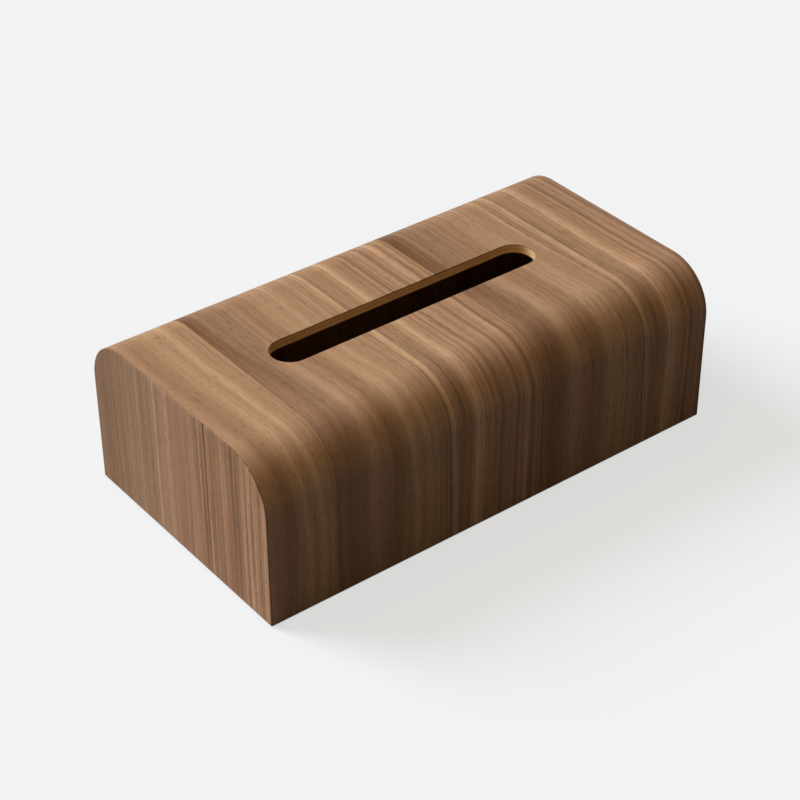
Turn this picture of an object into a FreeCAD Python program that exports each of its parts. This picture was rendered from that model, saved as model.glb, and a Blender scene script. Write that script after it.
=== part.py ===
"""Walnut-veneered tissue box holder: a moulded plywood cover that lifts off a loose base board.

The cover is an arch of three core plies with a lining inside and three walnut leaves outside, closed
at each end by a veneered board. Corner blocks brace the ends and carry magnets that hold the base.
Frame: X along the holder, Y from front to back, Z up, origin under the middle of the foot pads.
"""

import FreeCAD
import Part
import Sketcher
import math
import os
from types import SimpleNamespace

# Driving dimensions in millimetres: name, size, what it is.
DRIVING_DIMENSIONS = [
    ("length", 260, "over the two end veneers"),
    ("width", 140, "over the front and back leaves"),
    ("cover_height", 83.5, "lower edge of the cover to its top face"),
    ("bend_radius", 25, "outside radius of the two long bends"),
    ("face_veneer", 0.6, "walnut veneer on the arch and on the ends"),
    ("core_thickness", 1.3, "each of the three core plies of the arch"),
    ("lining", 0.5, "balancing veneer inside the arch"),
    ("end_board", 4.4, "board behind each end veneer"),
    ("edge_ease", 0.4, "sanded round along the rim of each end"),
    ("left_leaf", 37, "left end to the first veneer splice"),
    ("middle_leaf", 118, "first veneer splice to the second"),
    ("slot_margin", 53.5, "end of the holder to the end of the tissue slot"),
    ("slot_width", 20, "tissue slot, front to back"),
    ("slot_ease", 0.3, "sanded round along the rim of the slot"),
    ("block_leg", 12, "short sides of a corner block"),
    ("block_headroom", 7.5, "top of a corner block to the start of the bend"),
    ("magnet_diameter", 4, "disc magnet in the foot of a corner block"),
    ("magnet_height", 3, "disc magnet in the foot of a corner block"),
    ("strike_height", 1.5, "steel disc let into the base under each magnet"),
    ("glue_gap", 0.05, "round a disc in its pocket"),
    ("base_board", 5, "thickness of the loose base"),
    ("base_gap", 0.5, "round the base inside the cover"),
    ("base_corner", 2, "radius of the base's corners"),
    ("base_lead", 0.6, "bevel round the top of the base, which leads it into the cover"),
    ("finger_hole", 22, "hole in the base for pulling it out"),
    ("finger_ease", 0.8, "round along both rims of the finger hole"),
    ("foot_diameter", 12, "felt pad under the base"),
    ("foot_height", 2, "felt pad under the base"),
    ("foot_inset", 18, "edge of the base to the middle of a pad"),
    ("edge_clearance", 1, "table to the lower edge of the cover"),
]

START, END, CENTRE = range(1, 4)
HORIZONTAL_AXIS, VERTICAL_AXIS = range(-1, -3, -1)
ORIGIN_POINT = (HORIZONTAL_AXIS, START)
QUARTER_TURN = math.pi / 2
NEAR = 1 / 10**6


class Dim:
    """A size in millimetres together with the sheet expression that gives it."""

    def __init__(self, value, text):
        self.value = value
        self.text = text

    @staticmethod
    def of(number):
        return number if isinstance(number, Dim) else Dim(number, str(number))

    def _join(self, other, sign, value):
        return Dim(value, f"({self.text} {sign} {Dim.of(other).text})")

    def __add__(self, other):
        return self._join(other, "+", self.value + Dim.of(other).value)

    def __sub__(self, other):
        return self._join(other, "-", self.value - Dim.of(other).value)

    def __mul__(self, other):
        return self._join(other, "*", self.value * Dim.of(other).value)

    def __truediv__(self, other):
        return self._join(other, "/", self.value / Dim.of(other).value)

    def __neg__(self):
        return self * -1


doc = FreeCAD.newDocument("tissue_box_holder")
subparts = []


def write_sheet():
    """Puts the driving dimensions in the sheet and returns them by name."""
    sheet = doc.addObject("Spreadsheet::Sheet", "sizes")
    dims = {}
    for row, (name, size, meaning) in enumerate(DRIVING_DIMENSIONS, start=1):
        sheet.set(f"A{row}", name)
        sheet.set(f"B{row}", str(size))
        sheet.set(f"C{row}", meaning)
        sheet.setAlias(f"B{row}", name)
        dims[name] = Dim(size, f"sizes.{name}")
    doc.recompute()
    return SimpleNamespace(**dims)


size = write_sheet()

# Heights of the faces that the pieces share.
base_bottom = size.foot_height
base_top = base_bottom + size.base_board
cover_bottom = size.edge_clearance
cover_top = cover_bottom + size.cover_height
bend_start = cover_top - size.bend_radius

# Lengths along X and depths along Y that the pieces share.
arch_half_length = size.length / 2 - size.face_veneer
inner_half_length = arch_half_length - size.end_board
shell = size.face_veneer + size.core_thickness * 3 + size.lining
inner_half_width = size.width / 2 - shell
base_half_length = inner_half_length - size.base_gap
base_half_width = inner_half_width - size.base_gap
first_splice = size.left_leaf - size.length / 2
second_splice = first_splice + size.middle_leaf
slot_length = size.length - size.slot_margin * 2

# A magnet sits at the centre of the circle that touches all three sides of its corner block.
INCIRCLE_SHARE = round(1 - math.sqrt(0.5), 6)
magnet_inset = size.block_leg * INCIRCLE_SHARE
magnet_x = inner_half_length - magnet_inset
magnet_y = inner_half_width - magnet_inset
disc_pocket_radius = size.magnet_diameter / 2 + size.glue_gap

CORNERS = {
    "front_left": (-1, -1),
    "front_right": (1, -1),
    "back_left": (-1, 1),
    "back_right": (1, 1),
}


def bind(thing, prop, dim):
    """Sets a property to a size and ties it to the sheet."""
    thing.setExpression(prop, dim.text)


def new_body(label):
    """Starts a sub-part that is built from sketches."""
    body = doc.addObject("PartDesign::Body", label)
    body.Label = label
    subparts.append(body)
    return body


def new_sketch(body, plane, name, offset):
    """Adds a sketch on one of the body's origin planes, moved along that plane's normal."""
    sketch = body.newObject("Sketcher::SketchObject", f"{body.Label}_{name}")
    support = next(f for f in body.Origin.OriginFeatures if f.Role == plane)
    sketch.AttachmentSupport = [(support, "")]
    sketch.MapMode = "FlatFace"
    bind(sketch, "AttachmentOffset.Base.z", offset)
    return sketch


def dimension(sketch, name, kind, places, dim):
    """Adds a named dimension that follows the sheet."""
    index = sketch.addConstraint(Sketcher.Constraint(kind, *places, dim.value))
    sketch.renameConstraint(index, name)
    bind(sketch, f"Constraints.{name}", dim)


def relate(sketch, kind, *places):
    """Adds a geometric constraint."""
    sketch.addConstraint(Sketcher.Constraint(kind, *places))


def point(x, y):
    return FreeCAD.Vector(x, y, 0)


def line(sketch, start, end):
    return sketch.addGeometry(Part.LineSegment(point(*start), point(*end)))


def arc(sketch, centre, radius, start_angle, end_angle):
    circle = Part.Circle(point(*centre), FreeCAD.Vector(0, 0, 1), radius)
    return sketch.addGeometry(Part.ArcOfCircle(circle, start_angle, end_angle))


def pad(body, sketch, name, length):
    """Raises a sketch into a solid along its normal."""
    feature = body.newObject("PartDesign::Pad", f"{body.Label}_{name}")
    feature.Profile = sketch
    bind(feature, "Length", length)
    doc.recompute()
    return feature


def pocket(body, sketch, name, depth=None, upwards=False):
    """Cuts a sketch out of the body, right through when no depth is given."""
    feature = body.newObject("PartDesign::Pocket", f"{body.Label}_{name}")
    feature.Profile = sketch
    feature.Reversed = upwards
    if depth is None:
        feature.Type = "ThroughAll"
    else:
        bind(feature, "Length", depth)
    doc.recompute()
    return feature


def arched_edges(sketch, inset):
    """Draws wall, bend, top, bend and wall, all set in from the outside of the arch by an inset."""
    half = (size.width / 2 - inset).value
    radius = (size.bend_radius - inset).value
    low, high = cover_bottom.value, (cover_top - inset).value
    spring = high - radius
    left = line(sketch, (-half, low), (-half, spring))
    left_bend = arc(sketch, (radius - half, spring), radius, QUARTER_TURN, 2 * QUARTER_TURN)
    top = line(sketch, (radius - half, high), (half - radius, high))
    right_bend = arc(sketch, (half - radius, spring), radius, 0, QUARTER_TURN)
    right = line(sketch, (half, spring), (half, low))
    relate(sketch, "Tangent", left, END, left_bend, END)
    relate(sketch, "Tangent", left_bend, START, top, START)
    relate(sketch, "Tangent", top, END, right_bend, END)
    relate(sketch, "Tangent", right_bend, START, right, START)
    relate(sketch, "Vertical", left)
    relate(sketch, "Vertical", right)
    relate(sketch, "Horizontal", top)
    relate(sketch, "Equal", left_bend, right_bend)
    return left, left_bend, top, right


def outer_dimensions(sketch, edges, inset):
    """Fixes an arched outline's place, width, height and bend."""
    left, left_bend, top, right = edges
    relate(sketch, "Symmetric", left, START, right, END, VERTICAL_AXIS)
    dimension(sketch, "lower_edge", "DistanceY", (*ORIGIN_POINT, left, START), cover_bottom)
    dimension(sketch, "across", "DistanceX", (left, START, right, END), size.width - inset * 2)
    dimension(sketch, "rise", "DistanceY", (left, START, top, START), size.cover_height - inset)
    dimension(sketch, "bend", "Radius", (left_bend,), size.bend_radius - inset)


def arch_sketch(body, inset, thickness, start_x):
    """Draws the section of one layer of the arch, open at the bottom."""
    sketch = new_sketch(body, "YZ_Plane", "section", start_x)
    outer = arched_edges(sketch, inset)
    inner = arched_edges(sketch, inset + thickness)
    low = cover_bottom.value
    outer_half = (size.width / 2 - inset).value
    inner_half = outer_half - thickness.value
    left_foot = line(sketch, (-outer_half, low), (-inner_half, low))
    right_foot = line(sketch, (inner_half, low), (outer_half, low))
    relate(sketch, "Coincident", left_foot, START, outer[0], START)
    relate(sketch, "Coincident", left_foot, END, inner[0], START)
    relate(sketch, "Coincident", right_foot, START, inner[3], END)
    relate(sketch, "Coincident", right_foot, END, outer[3], END)
    relate(sketch, "Horizontal", left_foot)
    relate(sketch, "Horizontal", right_foot)
    relate(sketch, "Equal", left_foot, right_foot)
    outer_dimensions(sketch, outer, inset)
    dimension(sketch, "wall", "DistanceX", (left_foot, START, left_foot, END), thickness)
    dimension(sketch, "crown", "DistanceY", (inner[2], START, outer[2], START), thickness)
    inner_radius = size.bend_radius - inset - thickness
    dimension(sketch, "inner_bend", "Radius", (inner[1],), inner_radius)
    return sketch


def slot_sketch(body):
    """Draws the round-ended tissue slot on the top of the cover."""
    sketch = new_sketch(body, "XY_Plane", "slot", cover_top)
    radius = (size.slot_width / 2).value
    reach = (slot_length / 2).value - radius
    back = line(sketch, (reach, radius), (-reach, radius))
    left = arc(sketch, (-reach, 0), radius, QUARTER_TURN, 3 * QUARTER_TURN)
    front = line(sketch, (-reach, -radius), (reach, -radius))
    right = arc(sketch, (reach, 0), radius, -QUARTER_TURN, QUARTER_TURN)
    relate(sketch, "Tangent", back, END, left, START)
    relate(sketch, "Tangent", left, END, front, START)
    relate(sketch, "Tangent", front, END, right, START)
    relate(sketch, "Tangent", right, END, back, START)
    relate(sketch, "Horizontal", front)
    relate(sketch, "Equal", left, right)
    relate(sketch, "Symmetric", left, CENTRE, right, CENTRE, *ORIGIN_POINT)
    dimension(sketch, "slot_end", "Radius", (right,), size.slot_width / 2)
    centres = (left, CENTRE, right, CENTRE)
    dimension(sketch, "slot_centres", "DistanceX", centres, slot_length - size.slot_width)
    return sketch


def edges_where(feature, holds):
    """Names the edges of a feature whose ends all pass a test."""
    return [
        f"Edge{number}"
        for number, edge in enumerate(feature.Shape.Edges, start=1)
        if all(holds(vertex.Point) for vertex in edge.Vertexes)
    ]


def dress(body, feature, kind, name, edges, prop, dim):
    """Rounds or bevels some edges of a body's last feature."""
    dressing = body.newObject(f"PartDesign::{kind}", f"{body.Label}_{name}")
    dressing.Base = (feature, edges)
    bind(dressing, prop, dim)
    doc.recompute()
    return dressing


def arch_layer(label, inset, thickness, start_x, end_x):
    """Builds one bent sheet of the arch between two places along X, with the slot through it."""
    body = new_body(label)
    pad(body, arch_sketch(body, inset, thickness, start_x), "sheet", end_x - start_x)
    return body, pocket(body, slot_sketch(body), "slot_cut")


def face_leaf(label, start_x, end_x):
    """Builds a walnut leaf and rounds the part of the slot's rim that falls in it."""
    body, cut = arch_layer(label, Dim.of(0), size.face_veneer, start_x, end_x)
    height, reach = cover_top.value, (size.slot_width / 2).value

    def on_rim(place):
        return abs(place.z - height) < NEAR and abs(place.y) < reach + NEAR

    rim = edges_where(cut, on_rim)
    if rim:
        dress(body, cut, "Fillet", "slot_rim", rim, "Radius", size.slot_ease)


def build_arch():
    """Builds the walnut leaves, the core plies and the lining, from the outside in."""
    left_edge, right_edge = -arch_half_length, arch_half_length
    face_leaf("face_leaf_left", left_edge, first_splice)
    face_leaf("face_leaf_middle", first_splice, second_splice)
    face_leaf("face_leaf_right", second_splice, right_edge)
    for depth, place in enumerate(("outer", "centre", "inner")):
        inset = size.face_veneer + size.core_thickness * depth
        arch_layer(f"arch_{place}_ply", inset, size.core_thickness, left_edge, right_edge)
    arch_layer("arch_lining", shell - size.lining, size.lining, left_edge, right_edge)


def arched_panel(label, inset, start_x, thickness):
    """Builds a flat panel with the outline of the arch, set in from the outside by an inset."""
    body = new_body(label)
    sketch = new_sketch(body, "YZ_Plane", "outline", start_x)
    edges = arched_edges(sketch, inset)
    half, low = (size.width / 2 - inset).value, cover_bottom.value
    foot = line(sketch, (half, low), (-half, low))
    relate(sketch, "Coincident", foot, START, edges[3], END)
    relate(sketch, "Coincident", foot, END, edges[0], START)
    outer_dimensions(sketch, edges, inset)
    return body, pad(body, sketch, "panel", thickness)


def ease_rim(body, panel, face_x):
    """Rounds the edges of an end veneer that lie on its outer face."""
    on_face = edges_where(panel, lambda place: abs(place.x - face_x.value) < NEAR)
    dress(body, panel, "Fillet", "rim", on_face, "Radius", size.edge_ease)


def build_ends():
    """Builds a board inside each mouth of the arch and a veneer over the board and the arch's edge."""
    nothing = Dim.of(0)
    arched_panel("left_end_board", shell, -arch_half_length, size.end_board)
    arched_panel("right_end_board", shell, inner_half_length, size.end_board)
    outer_face = size.length / 2
    body, veneer = arched_panel("left_end_veneer", nothing, -outer_face, size.face_veneer)
    ease_rim(body, veneer, -outer_face)
    body, veneer = arched_panel("right_end_veneer", nothing, arch_half_length, size.face_veneer)
    ease_rim(body, veneer, outer_face)


def circle_in(sketch, name, x, y, radius):
    """Draws a circle whose centre and radius follow the sheet."""
    centre = point(x.value, y.value)
    ring = sketch.addGeometry(Part.Circle(centre, FreeCAD.Vector(0, 0, 1), radius.value))
    dimension(sketch, f"{name}_x", "DistanceX", (*ORIGIN_POINT, ring, CENTRE), x)
    dimension(sketch, f"{name}_y", "DistanceY", (*ORIGIN_POINT, ring, CENTRE), y)
    dimension(sketch, f"{name}_radius", "Radius", (ring,), radius)


def corner_block(corner, side_x, side_y):
    """Builds a triangular glue block in one inner corner, with a magnet pocket in its foot."""
    body = new_body(f"corner_block_{corner}")
    sketch = new_sketch(body, "XY_Plane", "triangle", base_top)
    corner_x, corner_y = inner_half_length * side_x, inner_half_width * side_y
    tip_x, tip_y = corner_x - size.block_leg * side_x, corner_y - size.block_leg * side_y
    corner_at = (corner_x.value, corner_y.value)
    along_wall = line(sketch, corner_at, (tip_x.value, corner_y.value))
    slope = line(sketch, (tip_x.value, corner_y.value), (corner_x.value, tip_y.value))
    along_end = line(sketch, (corner_x.value, tip_y.value), corner_at)
    relate(sketch, "Coincident", along_wall, END, slope, START)
    relate(sketch, "Coincident", slope, END, along_end, START)
    relate(sketch, "Coincident", along_end, END, along_wall, START)
    relate(sketch, "Horizontal", along_wall)
    relate(sketch, "Vertical", along_end)
    dimension(sketch, "corner_x", "DistanceX", (*ORIGIN_POINT, along_wall, START), corner_x)
    dimension(sketch, "corner_y", "DistanceY", (*ORIGIN_POINT, along_wall, START), corner_y)
    dimension(sketch, "tip_x", "DistanceX", (*ORIGIN_POINT, along_wall, END), tip_x)
    dimension(sketch, "tip_y", "DistanceY", (*ORIGIN_POINT, along_end, START), tip_y)
    pad(body, sketch, "prism", bend_start - size.block_headroom - base_top)
    hole = new_sketch(body, "XY_Plane", "magnet_hole", base_top)
    circle_in(hole, "magnet", magnet_x * side_x, magnet_y * side_y, disc_pocket_radius)
    pocket(body, hole, "magnet_pocket", depth=size.magnet_height, upwards=True)


def disc(label, x, y, z, diameter, height):
    """Builds a flat round piece standing on the height z."""
    cylinder = doc.addObject("Part::Cylinder", label)
    cylinder.Label = label
    bind(cylinder, "Radius", diameter / 2)
    bind(cylinder, "Height", height)
    bind(cylinder, "Placement.Base.x", x)
    bind(cylinder, "Placement.Base.y", y)
    bind(cylinder, "Placement.Base.z", z)
    subparts.append(cylinder)


def build_corners():
    """Builds the block and magnet of each cover corner and the strike disc and foot of each base corner."""
    foot_x, foot_y = base_half_length - size.foot_inset, base_half_width - size.foot_inset
    strike_bottom = base_top - size.strike_height
    for corner, (side_x, side_y) in CORNERS.items():
        x, y = magnet_x * side_x, magnet_y * side_y
        corner_block(corner, side_x, side_y)
        disc(f"magnet_{corner}", x, y, base_top, size.magnet_diameter, size.magnet_height)
        disc(f"strike_disc_{corner}", x, y, strike_bottom, size.magnet_diameter, size.strike_height)
        foot_at = (foot_x * side_x, foot_y * side_y, Dim.of(0))
        disc(f"felt_foot_{corner}", *foot_at, size.foot_diameter, size.foot_height)


def build_base():
    """Builds the loose base board with its finger hole and the pockets for the strike discs."""
    body = new_body("base_board")
    sketch = new_sketch(body, "XY_Plane", "outline", base_bottom)
    x, y = base_half_length.value, base_half_width.value
    front = line(sketch, (-x, -y), (x, -y))
    right = line(sketch, (x, -y), (x, y))
    back = line(sketch, (x, y), (-x, y))
    left = line(sketch, (-x, y), (-x, -y))
    for first, second in ((front, right), (right, back), (back, left), (left, front)):
        relate(sketch, "Coincident", first, END, second, START)
    for level in (front, back):
        relate(sketch, "Horizontal", level)
    for upright in (right, left):
        relate(sketch, "Vertical", upright)
    relate(sketch, "Symmetric", front, START, right, END, *ORIGIN_POINT)
    dimension(sketch, "long_side", "DistanceX", (front, START, front, END), base_half_length * 2)
    dimension(sketch, "short_side", "DistanceY", (right, START, right, END), base_half_width * 2)
    board = pad(body, sketch, "board", size.base_board)
    upright_edges = [
        f"Edge{number}"
        for number, edge in enumerate(board.Shape.Edges, start=1)
        if abs(edge.tangentAt(edge.FirstParameter).z) > 0.99
    ]
    corners = dress(body, board, "Fillet", "corners", upright_edges, "Radius", size.base_corner)
    top_edges = edges_where(corners, lambda place: abs(place.z - base_top.value) < NEAR)
    dress(body, corners, "Chamfer", "lead_in", top_edges, "Size", size.base_lead)
    hole = new_sketch(body, "XY_Plane", "finger_circle", base_top)
    ring = hole.addGeometry(
        Part.Circle(point(0, 0), FreeCAD.Vector(0, 0, 1), (size.finger_hole / 2).value)
    )
    relate(hole, "Coincident", ring, CENTRE, *ORIGIN_POINT)
    dimension(hole, "finger_radius", "Radius", (ring,), size.finger_hole / 2)
    through = pocket(body, hole, "finger_cut")
    hole_reach = (size.finger_hole / 2).value
    rims = edges_where(through, lambda place: math.hypot(place.x, place.y) < hole_reach + NEAR)
    rims = [name for name in rims if through.Shape.getElement(name).Closed]
    dress(body, through, "Fillet", "finger_rims", rims, "Radius", size.finger_ease)
    discs = new_sketch(body, "XY_Plane", "strike_circles", base_top)
    for corner, (side_x, side_y) in CORNERS.items():
        circle_in(discs, corner, magnet_x * side_x, magnet_y * side_y, disc_pocket_radius)
    pocket(body, discs, "strike_pockets", depth=size.strike_height)


def check_document():
    """Stops if a feature failed, a shape is broken or a cut removed nothing that it should have."""
    for thing in doc.Objects:
        if {"Invalid", "Error"} & set(thing.State):
            raise RuntimeError(f"{thing.Label} failed: {thing.State}")
    for piece in subparts:
        if piece.Shape.isNull() or not piece.Shape.isValid() or not piece.Shape.Solids:
            raise RuntimeError(f"{piece.Label} has no sound solid")
    for name in ("arch_outer_ply_slot_cut", "base_board_finger_cut", "base_board_strike_pockets"):
        cut = doc.getObject(name)
        if cut.Shape.Volume >= cut.BaseFeature.Shape.Volume:
            raise RuntimeError(f"{name} removed nothing")


def write_parts():
    """Writes each sub-part to its own file."""
    os.makedirs("parts", exist_ok=True)
    for piece in subparts:
        piece.Shape.exportStep(f"parts/{piece.Label}.step")
        print(f"{piece.Label}: {piece.Shape.Volume:.1f} mm3")


build_arch()
build_ends()
build_corners()
build_base()
doc.recompute()
check_document()
write_parts()
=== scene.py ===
"""Walnut-veneered tissue box holder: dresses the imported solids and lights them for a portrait.

The cover is a bent plywood arch faced with slip-matched walnut leaves and closed by veneered ends.
It lifts off a loose base board that stands on felt feet. Everything is in metres, in the solids' frame.
"""

import logging
import math
from dataclasses import dataclass
from enum import Enum
from typing import Mapping, Sequence

import bmesh
import bpy
from mathutils import Matrix, Vector


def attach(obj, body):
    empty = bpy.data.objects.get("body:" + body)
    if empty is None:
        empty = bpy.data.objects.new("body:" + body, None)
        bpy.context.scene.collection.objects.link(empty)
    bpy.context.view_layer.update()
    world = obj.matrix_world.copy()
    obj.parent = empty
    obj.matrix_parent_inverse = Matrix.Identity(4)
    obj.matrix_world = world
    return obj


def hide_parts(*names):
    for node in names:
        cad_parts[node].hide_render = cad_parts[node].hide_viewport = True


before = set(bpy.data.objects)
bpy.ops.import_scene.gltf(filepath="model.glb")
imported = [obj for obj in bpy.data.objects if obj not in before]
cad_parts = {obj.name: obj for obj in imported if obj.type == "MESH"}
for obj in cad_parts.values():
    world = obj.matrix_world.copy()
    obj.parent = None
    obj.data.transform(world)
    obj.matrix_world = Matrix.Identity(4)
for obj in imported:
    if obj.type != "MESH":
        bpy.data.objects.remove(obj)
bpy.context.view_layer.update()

MM = 0.001
PER_MM = 1000.0
GRAIN_MAP = "grain"
LEAF_NUMBER = "leaf"
# A leaf's base level: its own tone, and on the arch's leaves also a painted fall-off of the light from the
# left.
LEAF_TONE_AND_LIGHT_FALLOFF = "leaf_tone_and_light_falloff"
LEAF_HEART = "leaf_heart"
# The share of painted shade on an end veneer's rounded rim and cut edge.
PAINTED_RIM_SHADE = "painted_rim_shade"
CORNERS = ("front_left", "front_right", "back_left", "back_right")
# Noise rises past the first value in small spots only, and where it reaches the second there is a pore.
PORE_FROM, PORE_TO = 0.58, 0.76
# A colour ramp holds 32 stops, and a growth line takes three of them.
LINES_PER_RAMP = 10
RAMP_MARGIN_MM = 2.0

log = logging.getLogger("tissue_box_holder")

Colour = tuple[float, float, float, float]
Point = tuple[float, float]
Pair = tuple[float, float]


def linear(hex_colour: str) -> Colour:
    """Turns an sRGB hex colour into the linear colour that a shader reads.

    Args:
        hex_colour: six hex digits after a hash sign.

    Returns:
        Linear red, green and blue with full alpha.
    """
    shares = [int(hex_colour[at:at + 2], 16) / 255 for at in (1, 3, 5)]
    lit = [s / 12.92 if s <= 0.04045 else ((s + 0.055) / 1.055) ** 2.4 for s in shares]
    return (lit[0], lit[1], lit[2], 1.0)


def add_node(
    tree: bpy.types.NodeTree,
    kind: str,
    values: Mapping[int | str, object] | None = None,
    links: Mapping[int | str, bpy.types.NodeSocket] | None = None,
    stops: Sequence[tuple[float, Colour]] = (),
    **settings: object,
) -> bpy.types.Node:
    """Adds a node with its settings and links.

    Args:
        tree: the tree that gets the node.
        kind: the node's type name.
        values: constants for its inputs, by name or place.
        links: outputs of other nodes to join to its inputs, by name or place.
        stops: positions and colours, where the node has a colour ramp.
        **settings: the node's own properties.

    Returns:
        The new node.
    """
    node = tree.nodes.new(kind)
    for name, setting in settings.items():
        setattr(node, name, setting)
    for key, value in (values or {}).items():
        node.inputs[key].default_value = value
    for key, socket in (links or {}).items():
        tree.links.new(socket, node.inputs[key])
    for place, (position, colour) in enumerate(stops):
        elements = node.color_ramp.elements
        element = elements[place] if place < len(elements) else elements.new(position)
        element.position = position
        element.color = colour
    return node


class Fibre(Enum):
    """The axes that the fibres of a piece of wood run along."""

    LENGTH = (0,)
    HEIGHT = (2,)
    ROUND_THE_ARCH = (1, 2)


class WalnutTone(Enum):
    """Tones of walnut under a matt oil, from the dark heart streak to the palest band."""

    HEART = "#725139"
    SHADE = "#99775C"
    DUSK = "#A17C5D"
    CLAY = "#A67D5D"
    MID = "#A78363"
    RUSSET = "#AE8465"
    ROSE = "#AC8769"
    BLUSH = "#B38F6F"
    TAN = "#B2906D"
    COPPER = "#BC906F"
    PALE = "#BB9774"


@dataclass(frozen=True)
class Band:
    """A tone at a place across a veneer leaf."""

    at_mm: float
    tone: WalnutTone


@dataclass(frozen=True)
class GrowthLine:
    """A single growth line: where it lies, half its width, and how far it lifts or lowers the tone."""

    at_mm: float
    half_mm: float
    lift: float


@dataclass(frozen=True)
class Streak:
    """Noise drawn out along the fibre: how wide and long its streaks are, and how strongly they act."""

    width_mm: float
    length_mm: float
    strength: float = 1.0

    def noise(
        self,
        tree: bpy.types.NodeTree,
        place: bpy.types.NodeSocket,
        layer: bpy.types.NodeSocket | None = None,
        detail: float = 1.0,
        ragged: float = 0.5,
    ) -> bpy.types.NodeSocket:
        """Draws the streaks.

        Args:
            tree: the material's node tree.
            place: the place across and along the leaf, in millimetres.
            layer: the leaf's own layer of noise, or none where all leaves share one.
            detail: how many finer sizes are mixed in.
            ragged: how strong the finer sizes are.

        Returns:
            The noise, from 0 to 1.
        """
        squeezed = add_node(
            tree,
            "ShaderNodeVectorMath",
            {1: (1 / self.width_mm, 1 / self.length_mm, 1.0)},
            {0: place},
            operation="MULTIPLY",
        )
        links = {"Vector": squeezed.outputs[0]}
        if layer is not None:
            links["W"] = layer
        return add_node(
            tree,
            "ShaderNodeTexNoise",
            {"Scale": 1.0, "Detail": detail, "Roughness": ragged},
            links,
            noise_dimensions="3D" if layer is None else "4D",
        ).outputs[0]


@dataclass(frozen=True)
class HeartZone:
    """Wood beside the log's heart: a greyed zone up to a growth line, and a dark streak within it.

    Places across count from the leaf's left splice. Places along count from the middle of the top, and a
    pair of them is the one nearer to the back, then the one nearer to the front.
    """

    grey_to_mm: float = 22.6
    grey_sharp_mm: float = 1.2
    grey_soft_mm: float = 14.0
    grey_along_mm: Pair = (15.0, -20.0)
    streak_share: float = 0.95
    streak_across_mm: Pair = (0.5, 9.5)
    streak_along_mm: Pair = (40.0, -50.0)
    streak_fade_mm: Pair = (40.0, -40.0)
    streak_core_mm: float = 2.0
    streak_half_mm: float = 10.0

    def grey(
        self,
        tree: bpy.types.NodeTree,
        tone: bpy.types.NodeSocket,
        across: bpy.types.NodeSocket,
        along: bpy.types.NodeSocket,
    ) -> bpy.types.NodeSocket:
        """Greys the wood, up to a line that is sharp at the back and melts to the front.

        Args:
            tree: the material's node tree.
            tone: the banded colour.
            across: the place across the leaf, in millimetres.
            along: the place along the leaf, in millimetres.

        Returns:
            The colour with the grey zone in it.
        """
        back, front = self.grey_along_mm
        inner = add_node(
            tree,
            "ShaderNodeMapRange",
            {
                "From Min": back,
                "From Max": front,
                "To Min": self.grey_to_mm - self.grey_sharp_mm,
                "To Max": self.grey_to_mm - self.grey_soft_mm,
            },
            {"Value": along},
            interpolation_type="SMOOTHSTEP",
        )
        depth = add_node(
            tree,
            "ShaderNodeMapRange",
            {"From Max": self.grey_to_mm, "To Min": 1.0, "To Max": 0.0},
            {"Value": across, "From Min": inner.outputs[0]},
        )
        return add_node(
            tree,
            "ShaderNodeMix",
            {7: linear(WalnutTone.SHADE.value)},
            {0: depth.outputs[0], 6: tone},
            data_type="RGBA",
        ).outputs[2]

    def darken(
        self,
        tree: bpy.types.NodeTree,
        tone: bpy.types.NodeSocket,
        across: bpy.types.NodeSocket,
        along: bpy.types.NodeSocket,
    ) -> bpy.types.NodeSocket:
        """Darkens the streak, which leaves the splice as it runs towards the front.

        Args:
            tree: the material's node tree.
            tone: the banded colour.
            across: the place across the leaf, in millimetres.
            along: the place along the leaf, in millimetres.

        Returns:
            The colour with the streak in it.
        """
        back, front = self.streak_along_mm
        at_back, at_front = self.streak_across_mm
        centre = add_node(
            tree,
            "ShaderNodeMapRange",
            {"From Min": back, "From Max": front, "To Min": at_back, "To Max": at_front},
            {"Value": along},
            interpolation_type="SMOOTHSTEP",
        )
        away = add_node(
            tree, "ShaderNodeMath", links={0: across, 1: centre.outputs[0]}, operation="SUBTRACT"
        )
        distance = add_node(tree, "ShaderNodeMath", links={0: away.outputs[0]}, operation="ABSOLUTE")
        # Each leaf was sliced a little further from the heart or nearer to it.
        front_share = add_node(tree, "ShaderNodeAttribute", attribute_name=LEAF_HEART).outputs["Fac"]
        strong, weak = self.streak_fade_mm
        fading = add_node(
            tree,
            "ShaderNodeMapRange",
            {"From Min": strong, "From Max": weak, "To Min": self.streak_share},
            {"Value": along, "To Max": front_share},
        )
        depth = add_node(
            tree,
            "ShaderNodeMapRange",
            {"From Min": self.streak_core_mm, "From Max": self.streak_half_mm, "To Max": 0.0},
            {"Value": distance.outputs[0], "To Min": fading.outputs[0]},
            interpolation_type="SMOOTHSTEP",
        )
        return add_node(
            tree,
            "ShaderNodeMix",
            {7: linear(WalnutTone.HEART.value)},
            {0: depth.outputs[0], 6: tone},
            data_type="RGBA",
        ).outputs[2]


@dataclass(frozen=True, kw_only=True)
class Finish:
    """A surface: its name, the record's slot that it stands for, and its gloss."""

    name: str
    slot: str
    roughness: float
    specular: float

    def material(self) -> bpy.types.Material:
        """Makes the finish's material, or finds it if it is made already.

        Returns:
            The material.
        """
        found = bpy.data.materials.get(self.name)
        if found:
            return found
        made = bpy.data.materials.new(self.name)
        made.use_nodes = True
        shader = made.node_tree.nodes["Principled BSDF"]
        shader.inputs["Roughness"].default_value = self.roughness
        shader.inputs["Specular IOR Level"].default_value = self.specular
        self.paint(made.node_tree, shader)
        return made

    def paint(self, tree: bpy.types.NodeTree, shader: bpy.types.Node) -> None:
        """Adds the finish's own pattern to a fresh material.

        Args:
            tree: the material's node tree.
            shader: its surface shader.
        """
        raise NotImplementedError


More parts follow.
